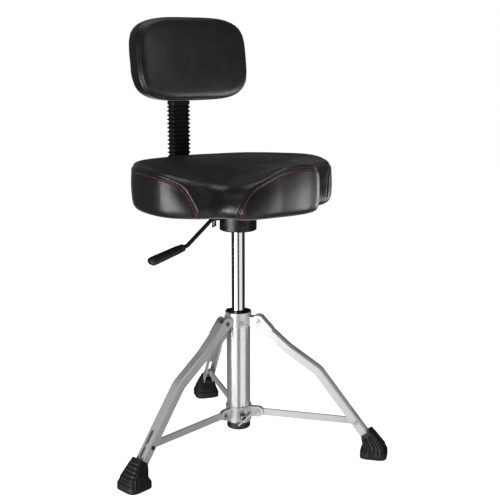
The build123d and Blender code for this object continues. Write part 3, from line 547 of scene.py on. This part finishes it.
def add_bump(material, height, strength, distance):
    """Add one bump layer on top of those already there."""
    tree = material.node_tree
    shader = tree.nodes["Principled BSDF"]
    bump = add_node(material, "ShaderNodeBump", Strength=strength, Distance=distance)
    tree.links.new(height, bump.inputs["Height"])
    if shader.inputs["Normal"].is_linked:
        tree.links.new(shader.inputs["Normal"].links[0].from_socket, bump.inputs["Normal"])
    tree.links.new(bump.outputs["Normal"], shader.inputs["Normal"])


def leatherette(name):
    """Black grained vinyl: small pebbles, soft broad waves and uneven gloss."""
    material = new_material(name, (0.008, 0.008, 0.0083), 0.4)
    shader = material.node_tree.nodes["Principled BSDF"]
    shader.inputs["Specular IOR Level"].default_value = 0.42
    shader.inputs["Sheen Weight"].default_value = 0.08
    shader.inputs["Sheen Roughness"].default_value = 0.45
    vary_color(material, noise(material, 38), (0.006, 0.006, 0.0062), (0.01, 0.01, 0.0102))
    vary_roughness(material, noise(material, 55, 6), 0.29, 0.37)
    pebbles = add_node(material, "ShaderNodeTexVoronoi", Scale=620.0)
    pebbles.feature = "SMOOTH_F1"
    pebbles.inputs["Smoothness"].default_value = 0.6
    material.node_tree.links.new(object_coordinates(material), pebbles.inputs["Vector"])
    add_bump(material, pebbles.outputs["Distance"], 0.35, 0.00025)
    add_bump(material, noise(material, 26, 3), 0.22, 0.0012)
    return material


def chrome_plate(name):
    """Mirror plating with faint upright polishing marks."""
    material = new_material(name, (0.86, 0.865, 0.875), 0.05, 1.0)
    vary_roughness(material, noise(material, 30, 6, stretch=(1, 1, 0.12)), 0.04, 0.07)
    add_bump(material, noise(material, 160, 2, stretch=(1, 1, 0.02)), 0.01, 0.00003)
    return material


def silver_coat(name, color, roughness, metallic):
    """Silver lacquer on steel: fine flake, slight orange peel and light handling marks."""
    material = new_material(name, color, roughness, metallic)
    low = tuple(c * 0.97 for c in color)
    high = tuple(min(1.0, c * 1.02) for c in color)
    vary_color(material, noise(material, 28, 5, 0.6), low, high)
    vary_roughness(material, noise(material, 60, 5), roughness - 0.03, roughness + 0.04)
    add_bump(material, noise(material, 300, 3), 0.03, 0.0001)
    return material


def bright_steel(name, roughness=0.2):
    """Zinc-plated or ground steel with uneven gloss."""
    material = new_material(name, (0.52, 0.52, 0.515), roughness, 1.0)
    vary_roughness(material, noise(material, 180, 6), roughness - 0.06, roughness + 0.1)
    vary_color(material, noise(material, 60, 5), (0.46, 0.46, 0.455), (0.58, 0.58, 0.575))
    add_bump(material, noise(material, 700, 3), 0.1, 0.00006)
    return material


def moulded_plastic(name, roughness=0.38):
    """Black plastic with a fine moulded grain."""
    material = new_material(name, (0.014, 0.014, 0.0145), roughness)
    vary_color(material, noise(material, 70, 5), (0.011, 0.011, 0.0115), (0.02, 0.02, 0.0205))
    vary_roughness(material, noise(material, 90, 6), roughness - 0.05, roughness + 0.1)
    add_bump(material, noise(material, 1500, 2), 0.25, 0.00012)
    return material


def rubber(name):
    """Matt black rubber with dusty, uneven gloss."""
    material = new_material(name, (0.008, 0.008, 0.0083), 0.5)
    material.node_tree.nodes["Principled BSDF"].inputs["Specular IOR Level"].default_value = 0.35
    vary_color(material, noise(material, 50, 6), (0.006, 0.006, 0.0063), (0.014, 0.0138, 0.0135))
    vary_roughness(material, noise(material, 80, 6), 0.42, 0.62)
    add_bump(material, noise(material, 900, 3), 0.3, 0.0002)
    return material


def powder_coat(name):
    """Black powder coat with a fine texture."""
    material = new_material(name, (0.009, 0.009, 0.0095), 0.36)
    material.node_tree.nodes["Principled BSDF"].inputs["Specular IOR Level"].default_value = 0.4
    vary_roughness(material, noise(material, 140, 5), 0.27, 0.42)
    vary_color(material, noise(material, 80, 5), (0.007, 0.007, 0.0075), (0.013, 0.013, 0.0135))
    add_bump(material, noise(material, 1100, 2), 0.22, 0.00012)
    return material


def thread(name):
    """Red sewing thread with a twisted grain."""
    material = new_material(name, (0.27, 0.02, 0.035), 0.6)
    vary_color(material, noise(material, 400, 3), (0.2, 0.014, 0.025), (0.36, 0.03, 0.05))
    add_bump(material, noise(material, 2500, 2, stretch=(1, 1, 3)), 0.4, 0.0002)
    return material


def plywood(name):
    """Dark stained plywood with drawn-out rings."""
    material = new_material(name, (0.03, 0.025, 0.02), 0.7)
    rings = noise(material, 60, 8, 0.6, stretch=(0.15, 1, 4))
    vary_color(material, rings, (0.012, 0.010, 0.009), (0.035, 0.028, 0.022))
    add_bump(material, rings, 0.3, 0.0003)
    return material


def floor_paint(name):
    """Plain white floor that glows enough to vanish into the backdrop."""
    material = new_material(name, (0.9, 0.9, 0.9), 0.9)
    shader = material.node_tree.nodes["Principled BSDF"]
    shader.inputs["Specular IOR Level"].default_value = 0.0
    shader.inputs["Emission Color"].default_value = (1, 1, 1, 1)
    shader.inputs["Emission Strength"].default_value = 0.985
    return material


LEATHER = leatherette("black_leatherette")
CHROME = chrome_plate("chrome_plate")
LEG_COAT = silver_coat("leg_coat", (0.66, 0.662, 0.665), 0.3, 0.5)
STRUT_COAT = silver_coat("strut_coat", (0.62, 0.622, 0.625), 0.34, 0.5)
TUBE_COAT = silver_coat("tube_coat", (0.84, 0.842, 0.845), 0.22, 0.75)
BRIGHT = bright_steel("bright_zinc")
DARK_STEEL = bright_steel("ground_steel", 0.28)
PLASTIC = moulded_plastic("black_plastic")
RUBBER = rubber("black_rubber")
BLACK_STEEL = powder_coat("black_powder_coat")
THREAD = thread("red_thread")
PLY = plywood("plywood_board")
BOARD = moulded_plastic("black_board", 0.5)

SLOT_MATERIALS = {
    "tube_steel": TUBE_COAT,
    "collar_steel": LEG_COAT,
    "leg_steel": LEG_COAT,
    "strut_steel": STRUT_COAT,
    "bright_fasteners": BRIGHT,
    "chrome": CHROME,
    "spring_steel": DARK_STEEL,
    "black_plastic": PLASTIC,
    "black_rubber": RUBBER,
    "black_steel": BLACK_STEEL,
    "plywood": PLY,
    "black_board": BOARD,
    "black_leatherette": LEATHER,
}


def paint(obj, material):
    obj.data.materials.clear()
    obj.data.materials.append(material)


# Radius of the rolled edges of each kind of pressed sheet part.
SHEET_EDGES = {"leg_steel": 0.0011, "strut_steel": 0.0006, "collar_steel": 0.0006}


def soften_edges(obj, radius):
    modifier = obj.modifiers.new("rolled_edges", "BEVEL")
    modifier.width = radius
    modifier.segments = 3
    modifier.limit_method = "ANGLE"
    modifier.angle_limit = math.radians(50)
    modifier.use_clamp_overlap = True
    modifier.harden_normals = True


def paint_frame():
    """Give every CAD node the material of its slot in the record."""
    for part in frame["record"]["subparts"]:
        node = frame["nodes"][part["node"]]
        paint(node, SLOT_MATERIALS[part["material_slot"]])
        node.data.shade_smooth()
        node.data.set_sharp_from_angle(angle=math.radians(28))
        if part["material_slot"] in SHEET_EDGES:
            soften_edges(node, SHEET_EDGES[part["material_slot"]])


# ---------------------------------------------------------------- seat

SEAT_BOTTOM = 0.516
SEAT_MIDDLE = 0.599
SEAT_EDGE_RADIUS = 0.015
SEAT_FOOT_RADIUS = 0.018
SEAT_WALL_BULGE = 0.0015
# In a thigh dip the edge is rounder by this much, and the wall leans in by this much at its top.
DIP_EDGE_EXTRA = 0.009
DIP_LEAN = 0.008
# Room left for the cover to swell in.
SWELL_ROOM = 0.0025

# How far above and below its middle the CAD cushion's wall is upright.
WALL_BAND = 0.034
OUTLINE_COUNT = 720


def read_outline(node):
    """The cushion's plan from the CAD wall: even steps of azimuth in radians, and the radius at each."""
    points = np.array([v.co for v in frame["nodes"][node].data.vertices])
    radius = np.hypot(points[:, 0], points[:, 1])
    middle = (points[:, 2].min() + points[:, 2].max()) / 2
    wall = np.abs(points[:, 2] - middle) < WALL_BAND
    azimuth = np.arctan2(points[wall, 0], -points[wall, 1])
    order = np.argsort(azimuth)
    azimuth, radius = azimuth[order], radius[wall][order]
    steps = np.linspace(-math.pi, math.pi, OUTLINE_COUNT, endpoint=False)
    return steps, np.interp(steps, azimuth, radius, period=2 * math.pi)


OUTLINE_STEPS, OUTLINE_RADII = read_outline("seat_cushion")


def outline_radius(azimuth):
    return float(np.interp(math.radians(azimuth), OUTLINE_STEPS, OUTLINE_RADII, period=2 * math.pi))


# Height of the saddle's rim by azimuth: the nose in front, a thigh dip on each side of it, then the lobes.
SEAT_RIM = [
    (-180, 0.6075), (-150, 0.6075), (-120, 0.6095), (-100, 0.6115), (-90, 0.6110), (-80, 0.6075),
    (-74, 0.6035), (-66, 0.5965), (-60, 0.5905), (-55, 0.5870), (-50, 0.5852), (-42, 0.5845),
    (-35, 0.5850), (-28, 0.5880), (-20, 0.5945), (-14, 0.6005), (-8, 0.6080), (-2, 0.6145),
    (5, 0.6185), (12, 0.6200), (20, 0.6195), (26, 0.6160), (30, 0.6080), (35, 0.5960), (40, 0.5880),
    (48, 0.5855), (55, 0.5870), (62, 0.5920), (68, 0.5975), (75, 0.6040), (82, 0.6080), (90, 0.6110),
    (100, 0.6115), (120, 0.6095), (150, 0.6075), (180, 0.6075),
]


def smooth_table(marks, start, stop, count):
    """Even samples of a smooth curve through (x, y) marks."""
    curve = catmull([(x, y, 0) for x, y in marks], steps=16)
    steps = np.linspace(start, stop, count)
    return steps, np.interp(steps, [p[0] for p in curve], [p[1] for p in curve])


RIM_STEPS, RIM_HEIGHTS = smooth_table(SEAT_RIM, -180, 180, 721)


def rim_height(azimuth):
    return float(np.interp(azimuth, RIM_STEPS, RIM_HEIGHTS))


# A rim at or below the first height is fully in a dip; one at or above the second is out of it.
DIP_LEVELS = (0.586, 0.606)


def dip_weight(azimuth):
    """How deep in a thigh dip an azimuth is, from 0 to 1."""
    return 1 - smoothstep(DIP_LEVELS[0], DIP_LEVELS[1], rim_height(azimuth))


# Shares of the way out at which the top leaves its middle's height, in a dip and in a lobe.
DIP_START = 0.3
LOBE_START = 0.5
# The share at which it comes to the rim's height.
RIM_START = 0.98


def seat_height(azimuth, share):
    """Height of the saddle's top at an azimuth and a share of the way out to the edge."""
    rise = rim_height(azimuth) - SEAT_MIDDLE
    start = DIP_START if rise < 0 else LOBE_START
    return SEAT_MIDDLE + rise * smoothstep(start, RIM_START, share)


def seat_section(azimuth):
    """Points (outwards, up) from the middle of the top, over the edge, down the wall and in below."""
    dip = dip_weight(azimuth)
    radius = outline_radius(azimuth) - SWELL_ROOM
    edge = SEAT_EDGE_RADIUS + DIP_EDGE_EXTRA * dip
    top = seat_height(azimuth, 1) - SWELL_ROOM
    foot = SEAT_FOOT_RADIUS
    lean = DIP_LEAN * dip
    section = []
    for share in np.linspace(0.03, 1, 34):
        section.append((share * (radius - lean - edge), seat_height(azimuth, share) - SWELL_ROOM))
    for turn in np.linspace(10, 90, 9):
        t = math.radians(turn)
        section.append((radius - lean - edge + edge * math.sin(t), top - edge * (1 - math.cos(t))))
    for down in np.linspace(0.06, 0.94, 14):
        out = radius - lean * (1 - down) + SEAT_WALL_BULGE * math.sin(math.pi * down)
        section.append((out, (top - edge) * (1 - down) + (SEAT_BOTTOM + foot) * down))
    for turn in np.linspace(0, 90, 9):
        t = math.radians(turn)
        section.append((radius - foot + foot * math.cos(t), SEAT_BOTTOM + foot - foot * math.sin(t)))
    for share in np.linspace(0.94, 0.05, 12):
        section.append((share * (radius - foot), SEAT_BOTTOM))
    return section


SEAT_SECTIONS = 320


def seat_loops():
    """Loops round the seat, one through each row of its sections' points."""
    sections = []
    for azimuth in np.linspace(-180, 180, SEAT_SECTIONS, endpoint=False):
        out = direction(azimuth)
        sections.append([out * r + Vector((0, 0, z)) for r, z in seat_section(azimuth)])
    return list(zip(*sections))


# How far outside the CAD wall a seam's line starts before it is dropped on the cover.
OUTSIDE = 0.002


def wall_line(tree, marks):
    """The nearest points on the cover to a smooth line through (azimuth, height) marks."""
    line = []
    for azimuth, height, _ in catmull([(a, z, 0) for a, z in marks]):
        place = direction(azimuth) * (outline_radius(azimuth) + OUTSIDE) + Vector((0, 0, height))
        line.append(tree.find_nearest(place)[0])
    return even_out(tree, line)


def even_out(tree, line, rounds=6):
    """Take the small kinks out of a line that lies on a surface."""
    for _ in range(rounds):
        middle = [(a + 2 * b + c) / 4 for a, b, c in zip(line, line[1:], line[2:])]
        line = [line[0]] + [tree.find_nearest(p)[0] for p in middle] + [line[-1]]
    return line


# The sewn seams as (azimuth, height). The side seam is given for one side, from its front end back.
NOSE_SEAM = [
    (-34.2, 0.519), (-33.7, 0.528), (-31.8, 0.544), (-27.8, 0.568), (-22.2, 0.587), (-12.8, 0.600),
    (-1.4, 0.609), (10.4, 0.6135), (20.0, 0.6125), (26.5, 0.608), (30.5, 0.596), (33.2, 0.572),
    (34.2, 0.540), (34.5, 0.519),
]
SIDE_SEAM = [
    (56.3, 0.519), (57.2, 0.532), (59.8, 0.555), (63.2, 0.575), (67.5, 0.588), (74.0, 0.5965),
    (82.0, 0.6010), (92.0, 0.6025), (105.0, 0.6020), (120.0, 0.6010), (135.0, 0.6005),
    (150.0, 0.6000), (165.0, 0.6000), (180.0, 0.6000),
]
# How far from its seam a row of stitches runs, and how closely that row's course is worked out.
STITCH_OFFSET = 0.0042
STITCH_ROW_STEP = 0.004


def nose_panel(_):
    """The middle of the panel inside the nose's seam, whichever point of the seam it is for."""
    return direction(0) * 0.17 + Vector((0, 0, 0.555))


def side_panel(point):
    """A place in the side panel, past the side seam from a point on it."""
    azimuth = math.atan2(point.x, -point.y)
    turn = max(abs(math.degrees(azimuth)) + 14, 92)
    panel = direction(math.copysign(turn, azimuth)) * 0.2
    panel.z = 0.55
    return panel


def offset_line(tree, line, panel, distance):
    """The line moved over the surface by a distance, towards its panel."""
    result = []
    for i, point in enumerate(line):
        run = line[min(i + 1, len(line) - 1)] - line[max(i - 1, 0)]
        _, normal, _, _ = tree.find_nearest(point)
        side = normal.cross(run).normalized()
        if side.dot(panel(point) - point) < 0:
            side = -side
        result.append(tree.find_nearest(point + side * distance)[0])
    return result


def seat_seams(tree, spacing):
    """The nose's seam, and the one from side to side round the back."""
    whole_side = SIDE_SEAM + [(360 - a, z) for a, z in reversed(SIDE_SEAM[:-1])]
    return [resample(wall_line(tree, marks), spacing) for marks in (NOSE_SEAM, whole_side)]


def make_stitching(tree, seams):
    rows = []
    for seam, panel in zip(seams, (nose_panel, side_panel)):
        rows.append(offset_line(tree, resample(seam, STITCH_ROW_STEP), panel, STITCH_OFFSET))
    stitches = make_stitches("seat_stitching", tree, rows)
    paint(stitches, THREAD)
    UPHOLSTERY.objects.link(stitches)
    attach(stitches, "lift")


def make_seat():
    seat = loft("seat_cover", seat_loops())
    remesh(seat, voxel=0.006)
    nose, side = seat_seams(surface_tree(seat), spacing=0.0015)
    puff(seat, nose + side, pressure=3.5, cap=0.004, ease=8, free_from=SEAT_BOTTOM + 0.004)
    subdivide(seat, levels=2)
    nose, side = seat_seams(surface_tree(seat), spacing=0.0012)
    press_seam(seat, nose + side, depth=0.0018, width=0.0023, shoulder=0.0002)
    paint(seat, LEATHER)
    UPHOLSTERY.objects.link(seat)
    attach(seat, "lift")
    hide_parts("seat_cushion")
    make_stitching(surface_tree(seat), (nose, side))


# ---------------------------------------------------------------- backrest

PAD_ORIGIN = Vector((0, 0.217, 0.8075))
PAD_TILT = 8.0
PAD_HALF_WIDTH = 0.133
PAD_HALF_HEIGHT = 0.0875
PAD_POWER = 3.9
# How far the front hangs down for each unit of depth.
PAD_SAG = 0.075
PAD_POINTS = 240
PAD_SEAM_POINTS = 900


def pad_point(u, v, w):
    """From the pad's own width, height and depth to the frame. It leans back by its tilt."""
    tilt = math.radians(PAD_TILT)
    up = Vector((0, math.sin(tilt), math.cos(tilt)))
    out = Vector((0, -math.cos(tilt), math.sin(tilt)))
    return PAD_ORIGIN + Vector((u, 0, 0)) + up * (v - PAD_SAG * w) + out * w


# Inset from the pad's outline, and depth, from the rim of the back round to the middle of the front.
PAD_PROFILE = [
    (0.0110, 0.0005), (0.0050, 0.0010), (0.0022, 0.0030), (0.0008, 0.0070), (0.0002, 0.0150),
    (-0.0004, 0.0250), (0.0000, 0.0350), (0.0008, 0.0420), (0.0014, 0.0455), (0.0022, 0.0485),
    (0.0040, 0.0515), (0.0068, 0.0538), (0.0110, 0.0552), (0.0180, 0.0561), (0.0300, 0.0567),
    (0.0450, 0.0571), (0.0620, 0.0573), (0.0780, 0.0574),
]
# The row of the profile that the seam follows.
PAD_SEAM_ROW = 8


def pad_ring(row, count):
    inset, depth = PAD_PROFILE[row]
    ring = superellipse(PAD_HALF_WIDTH - inset, PAD_HALF_HEIGHT - inset, PAD_POWER, count)
    return [pad_point(x, y, depth) for x, y in ring]


def pad_seam(pad):
    tree = surface_tree(pad)
    line = resample(pad_ring(PAD_SEAM_ROW, PAD_SEAM_POINTS), 0.0012, closed=True)
    return [tree.find_nearest(p)[0] for p in line]


def make_pad():
    pad = loft("backrest_cover", [pad_ring(row, PAD_POINTS) for row in range(len(PAD_PROFILE))])
    remesh(pad, voxel=0.005)
    puff(pad, pad_seam(pad), pressure=2.0, cap=0.002, ease=40)
    subdivide(pad, levels=2)
    press_seam(pad, pad_seam(pad), depth=0.0026, width=0.0024, shoulder=0.0004)
    paint(pad, LEATHER)
    UPHOLSTERY.objects.link(pad)
    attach(pad, "backrest")
    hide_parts("backrest_pad")


BELLOWS_Y = 0.241
BELLOWS_RIBS = 19
BELLOWS_CUFF = 0.009
BELLOWS_POWER = 9
BELLOWS_POINTS = 96
# Share of a rib's pitch, and how far the rubber stands out there.
BELLOWS_RIB = [
    (0.0, -0.0015), (0.22, -0.0010), (0.38, 0.0010), (0.5, 0.0021), (0.62, 0.0010), (0.78, -0.0010),
]


def make_bellows():
    """The ribbed rubber sleeve: pleats round a flat bar, with a plain cuff at the top."""
    low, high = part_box("bellows")
    bottom, top = low.z, high.z
    cuff = top - BELLOWS_CUFF
    pitch = (cuff - bottom) / BELLOWS_RIBS
    half_x, half_y = (high.x - low.x) / 2, (high.y - low.y) / 2
    sections = []
    for rib in range(BELLOWS_RIBS):
        sections += [(bottom + (rib + share) * pitch, out) for share, out in BELLOWS_RIB]
    sections += [(cuff, -0.0015), (cuff + 0.001, 0.0006), (top - 0.0012, 0.0006), (top, -0.0006)]
    loops = []
    for z, out in sections:
        ring = superellipse(half_x + out, half_y + out, BELLOWS_POWER, BELLOWS_POINTS)
        loops.append([(x, BELLOWS_Y + y, z) for x, y in ring])
    bellows = loft("bellows_sleeve", loops)
    bellows.data.set_sharp_from_angle(angle=math.radians(50))
    paint(bellows, RUBBER)
    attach(bellows, "backrest_arm")
    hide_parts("bellows")
    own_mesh(bellows)


# ---------------------------------------------------------------- grip and boots

GRIP_RUN = Vector((-0.962, 0, -0.272))
GRIP_UP = Vector((GRIP_RUN.z, 0, -GRIP_RUN.x))
GRIP_LENGTH = 0.08
GRIP_ROUNDING = 0.0007
# Share of the length, half width, half thickness and how far the section sits above the axis.
GRIP_SECTIONS = [
    (0.00, 0.0062, 0.0056, 0.0), (0.02, 0.0074, 0.0066, 0.0), (0.14, 0.0080, 0.0070, 0.0),
    (0.18, 0.0094, 0.0072, 0.0), (0.55, 0.0112, 0.0073, 0.0), (0.86, 0.0124, 0.0075, 0.0),
    (0.96, 0.0120, 0.0070, 0.0), (1.00, 0.0094, 0.0048, 0.0006),
]
# The section's corners as shares of its half width and half thickness.
GRIP_FACETS = [
    (1.0, 0.30), (0.66, 1.0), (-0.66, 1.0), (-1.0, 0.30), (-1.0, -0.35), (-0.58, -1.0), (0.58, -1.0),
    (1.0, -0.35),
]


def make_grip():
    low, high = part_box("lever_grip")
    middle = (low + high) / 2
    loops = []
    for share, half_width, half_height, lift in GRIP_SECTIONS:
        centre = middle + GRIP_RUN * (GRIP_LENGTH * (share - 0.5)) + GRIP_UP * lift
        corners = [Vector((0, y * half_width, 0)) + GRIP_UP * (h * half_height) for y, h in GRIP_FACETS]
        loops.append([centre + corner for corner in corners])
    grip = loft("lever_grip_cover", loops, smooth=False)
    rounding = grip.modifiers.new("edges", "BEVEL")
    rounding.width = GRIP_ROUNDING
    rounding.segments = 2
    rounding.limit_method = "ANGLE"
    rounding.angle_limit = math.radians(12)
    apply_modifiers(grip)
    grip.data.set_sharp_from_angle(angle=math.radians(45))
    paint(grip, PLASTIC)
    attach(grip, "lever")
    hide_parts("lever_grip")


BOOT_HALF_SOLE = 0.028
BOOT_HALF_WAIST = 0.0225
BOOT_WAIST_HEIGHT = 0.025
BOOT_WAIST_SHARE = 0.42
BOOT_POWER = 4.2
BOOT_HALF_MOUTH = 0.0135
BOOT_MOUTH_POWER = 5
BOOT_MOUTH_OUT = -0.0163
BOOT_MOUTH_HEIGHT = 0.0512
BOOT_LEG_SLOPE = math.radians(52.5)
BOOT_POINTS = 176
BOOT_RINGS = 84
BOOT_RELIEF = 0.0009
BOOT_RUNGS = 9
BOOT_FINS = 6
# Shares of the boot's height between which the rungs and fins fade in at the sole and out at the mouth.
BOOT_RELIEF_START = (0.12, 0.2)
BOOT_RELIEF_END = (0.86, 0.93)


def boot_ring(share):
    """Points (outwards, across, up) of a boot's ring, from the middle of the sole, for a share upwards."""
    sole = superellipse(BOOT_HALF_SOLE, BOOT_HALF_SOLE, BOOT_POWER, BOOT_POINTS)
    waist = superellipse(BOOT_HALF_WAIST, BOOT_HALF_WAIST, BOOT_POWER, BOOT_POINTS)
    mouth = superellipse(BOOT_HALF_MOUTH, BOOT_HALF_MOUTH, BOOT_MOUTH_POWER, BOOT_POINTS)
    low = smoothstep(0.14, BOOT_WAIST_SHARE, share)
    height = BOOT_WAIST_HEIGHT * min(share / BOOT_WAIST_SHARE, 1)
    high = max(0.0, (share - BOOT_WAIST_SHARE) / (1 - BOOT_WAIST_SHARE))
    ring = []
    for (sx, sy), (wx, wy), (mx, my) in zip(sole, waist, mouth):
        base = Vector((sx + (wx - sx) * low, sy + (wy - sy) * low, height))
        out = BOOT_MOUTH_OUT + mx * math.sin(BOOT_LEG_SLOPE)
        top = Vector((out, my, BOOT_MOUTH_HEIGHT + mx * math.cos(BOOT_LEG_SLOPE)))
        ring.append(base.lerp(top, high))
    return ring


def boot_relief(x, y, share):
    """How far the rubber stands proud: rungs across the outer and inner faces, fins down the two sides."""
    fade = smoothstep(*BOOT_RELIEF_START, share) * (1 - smoothstep(*BOOT_RELIEF_END, share))
    if abs(x) >= abs(y):
        wave = math.cos(2 * math.pi * BOOT_RUNGS * share)
    else:
        wave = math.cos(math.pi * BOOT_FINS * x / abs(y))
    return BOOT_RELIEF * fade * wave


def boot_loops():
    """Rings from the sole up to the mouth, and three more over its lip and into it."""
    loops = [[Vector((x * 0.945, y * 0.945, 0)) for x, y, _ in boot_ring(0)]]
    for share in np.linspace(0.015, 1, BOOT_RINGS):
        ring = boot_ring(share)
        centre = sum(ring, Vector()) / len(ring)
        loop = []
        for p in ring:
            flat = p - centre
            loop.append(p + flat.normalized() * boot_relief(flat.x, flat.y, share))
        loops.append(loop)
    lip = boot_ring(1)
    centre = sum(lip, Vector()) / len(lip)
    down = Vector((math.cos(BOOT_LEG_SLOPE), 0, -math.sin(BOOT_LEG_SLOPE)))
    for scale, sunk in ((0.93, -0.0006), (0.84, 0), (0.82, 0.005)):
        loops.append([centre + (p - centre) * scale + down * sunk for p in lip])
    return loops


def make_boot(leg, loops):
    """A boot on its leg's foot. Its outer side looks away from the throne's middle."""
    points = np.array([v.co for v in frame["nodes"][f"{leg}_foot"].data.vertices])
    sole = points[points[:, 2] < 0.0005].mean(axis=0)
    middle = Vector((sole[0], sole[1], 0))
    out = middle.normalized()
    across = Vector((-out.y, out.x, 0))
    placed = [[middle + out * p.x + across * p.y + Vector((0, 0, p.z)) for p in loop] for loop in loops]
    boot = loft(f"{leg}_boot", placed)
    boot.data.set_sharp_from_angle(angle=math.radians(40))
    paint(boot, RUBBER)
    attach(boot, f"{leg}_leg_body")
    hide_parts(f"{leg}_foot")


# ---------------------------------------------------------------- floor and finish

FLOOR_HALF = 20


def make_floor():
    corners = [(-1, -1), (1, -1), (1, 1), (-1, 1)]
    floor = link_mesh("floor", [(x * FLOOR_HALF, y * FLOOR_HALF, 0) for x, y in corners], [(0, 1, 2, 3)])
    paint(floor, floor_paint("floor_paint"))
    floor.visible_glossy = False
    floor.visible_diffuse = False
    floor.visible_shadow = False


make_camera()
make_studio()
light_studio()
paint_frame()
make_seat()
make_pad()
make_bellows()
make_grip()
rings = boot_loops()
for leg_name in ("front", "rear", "side"):
    make_boot(leg_name, rings)
make_floor()
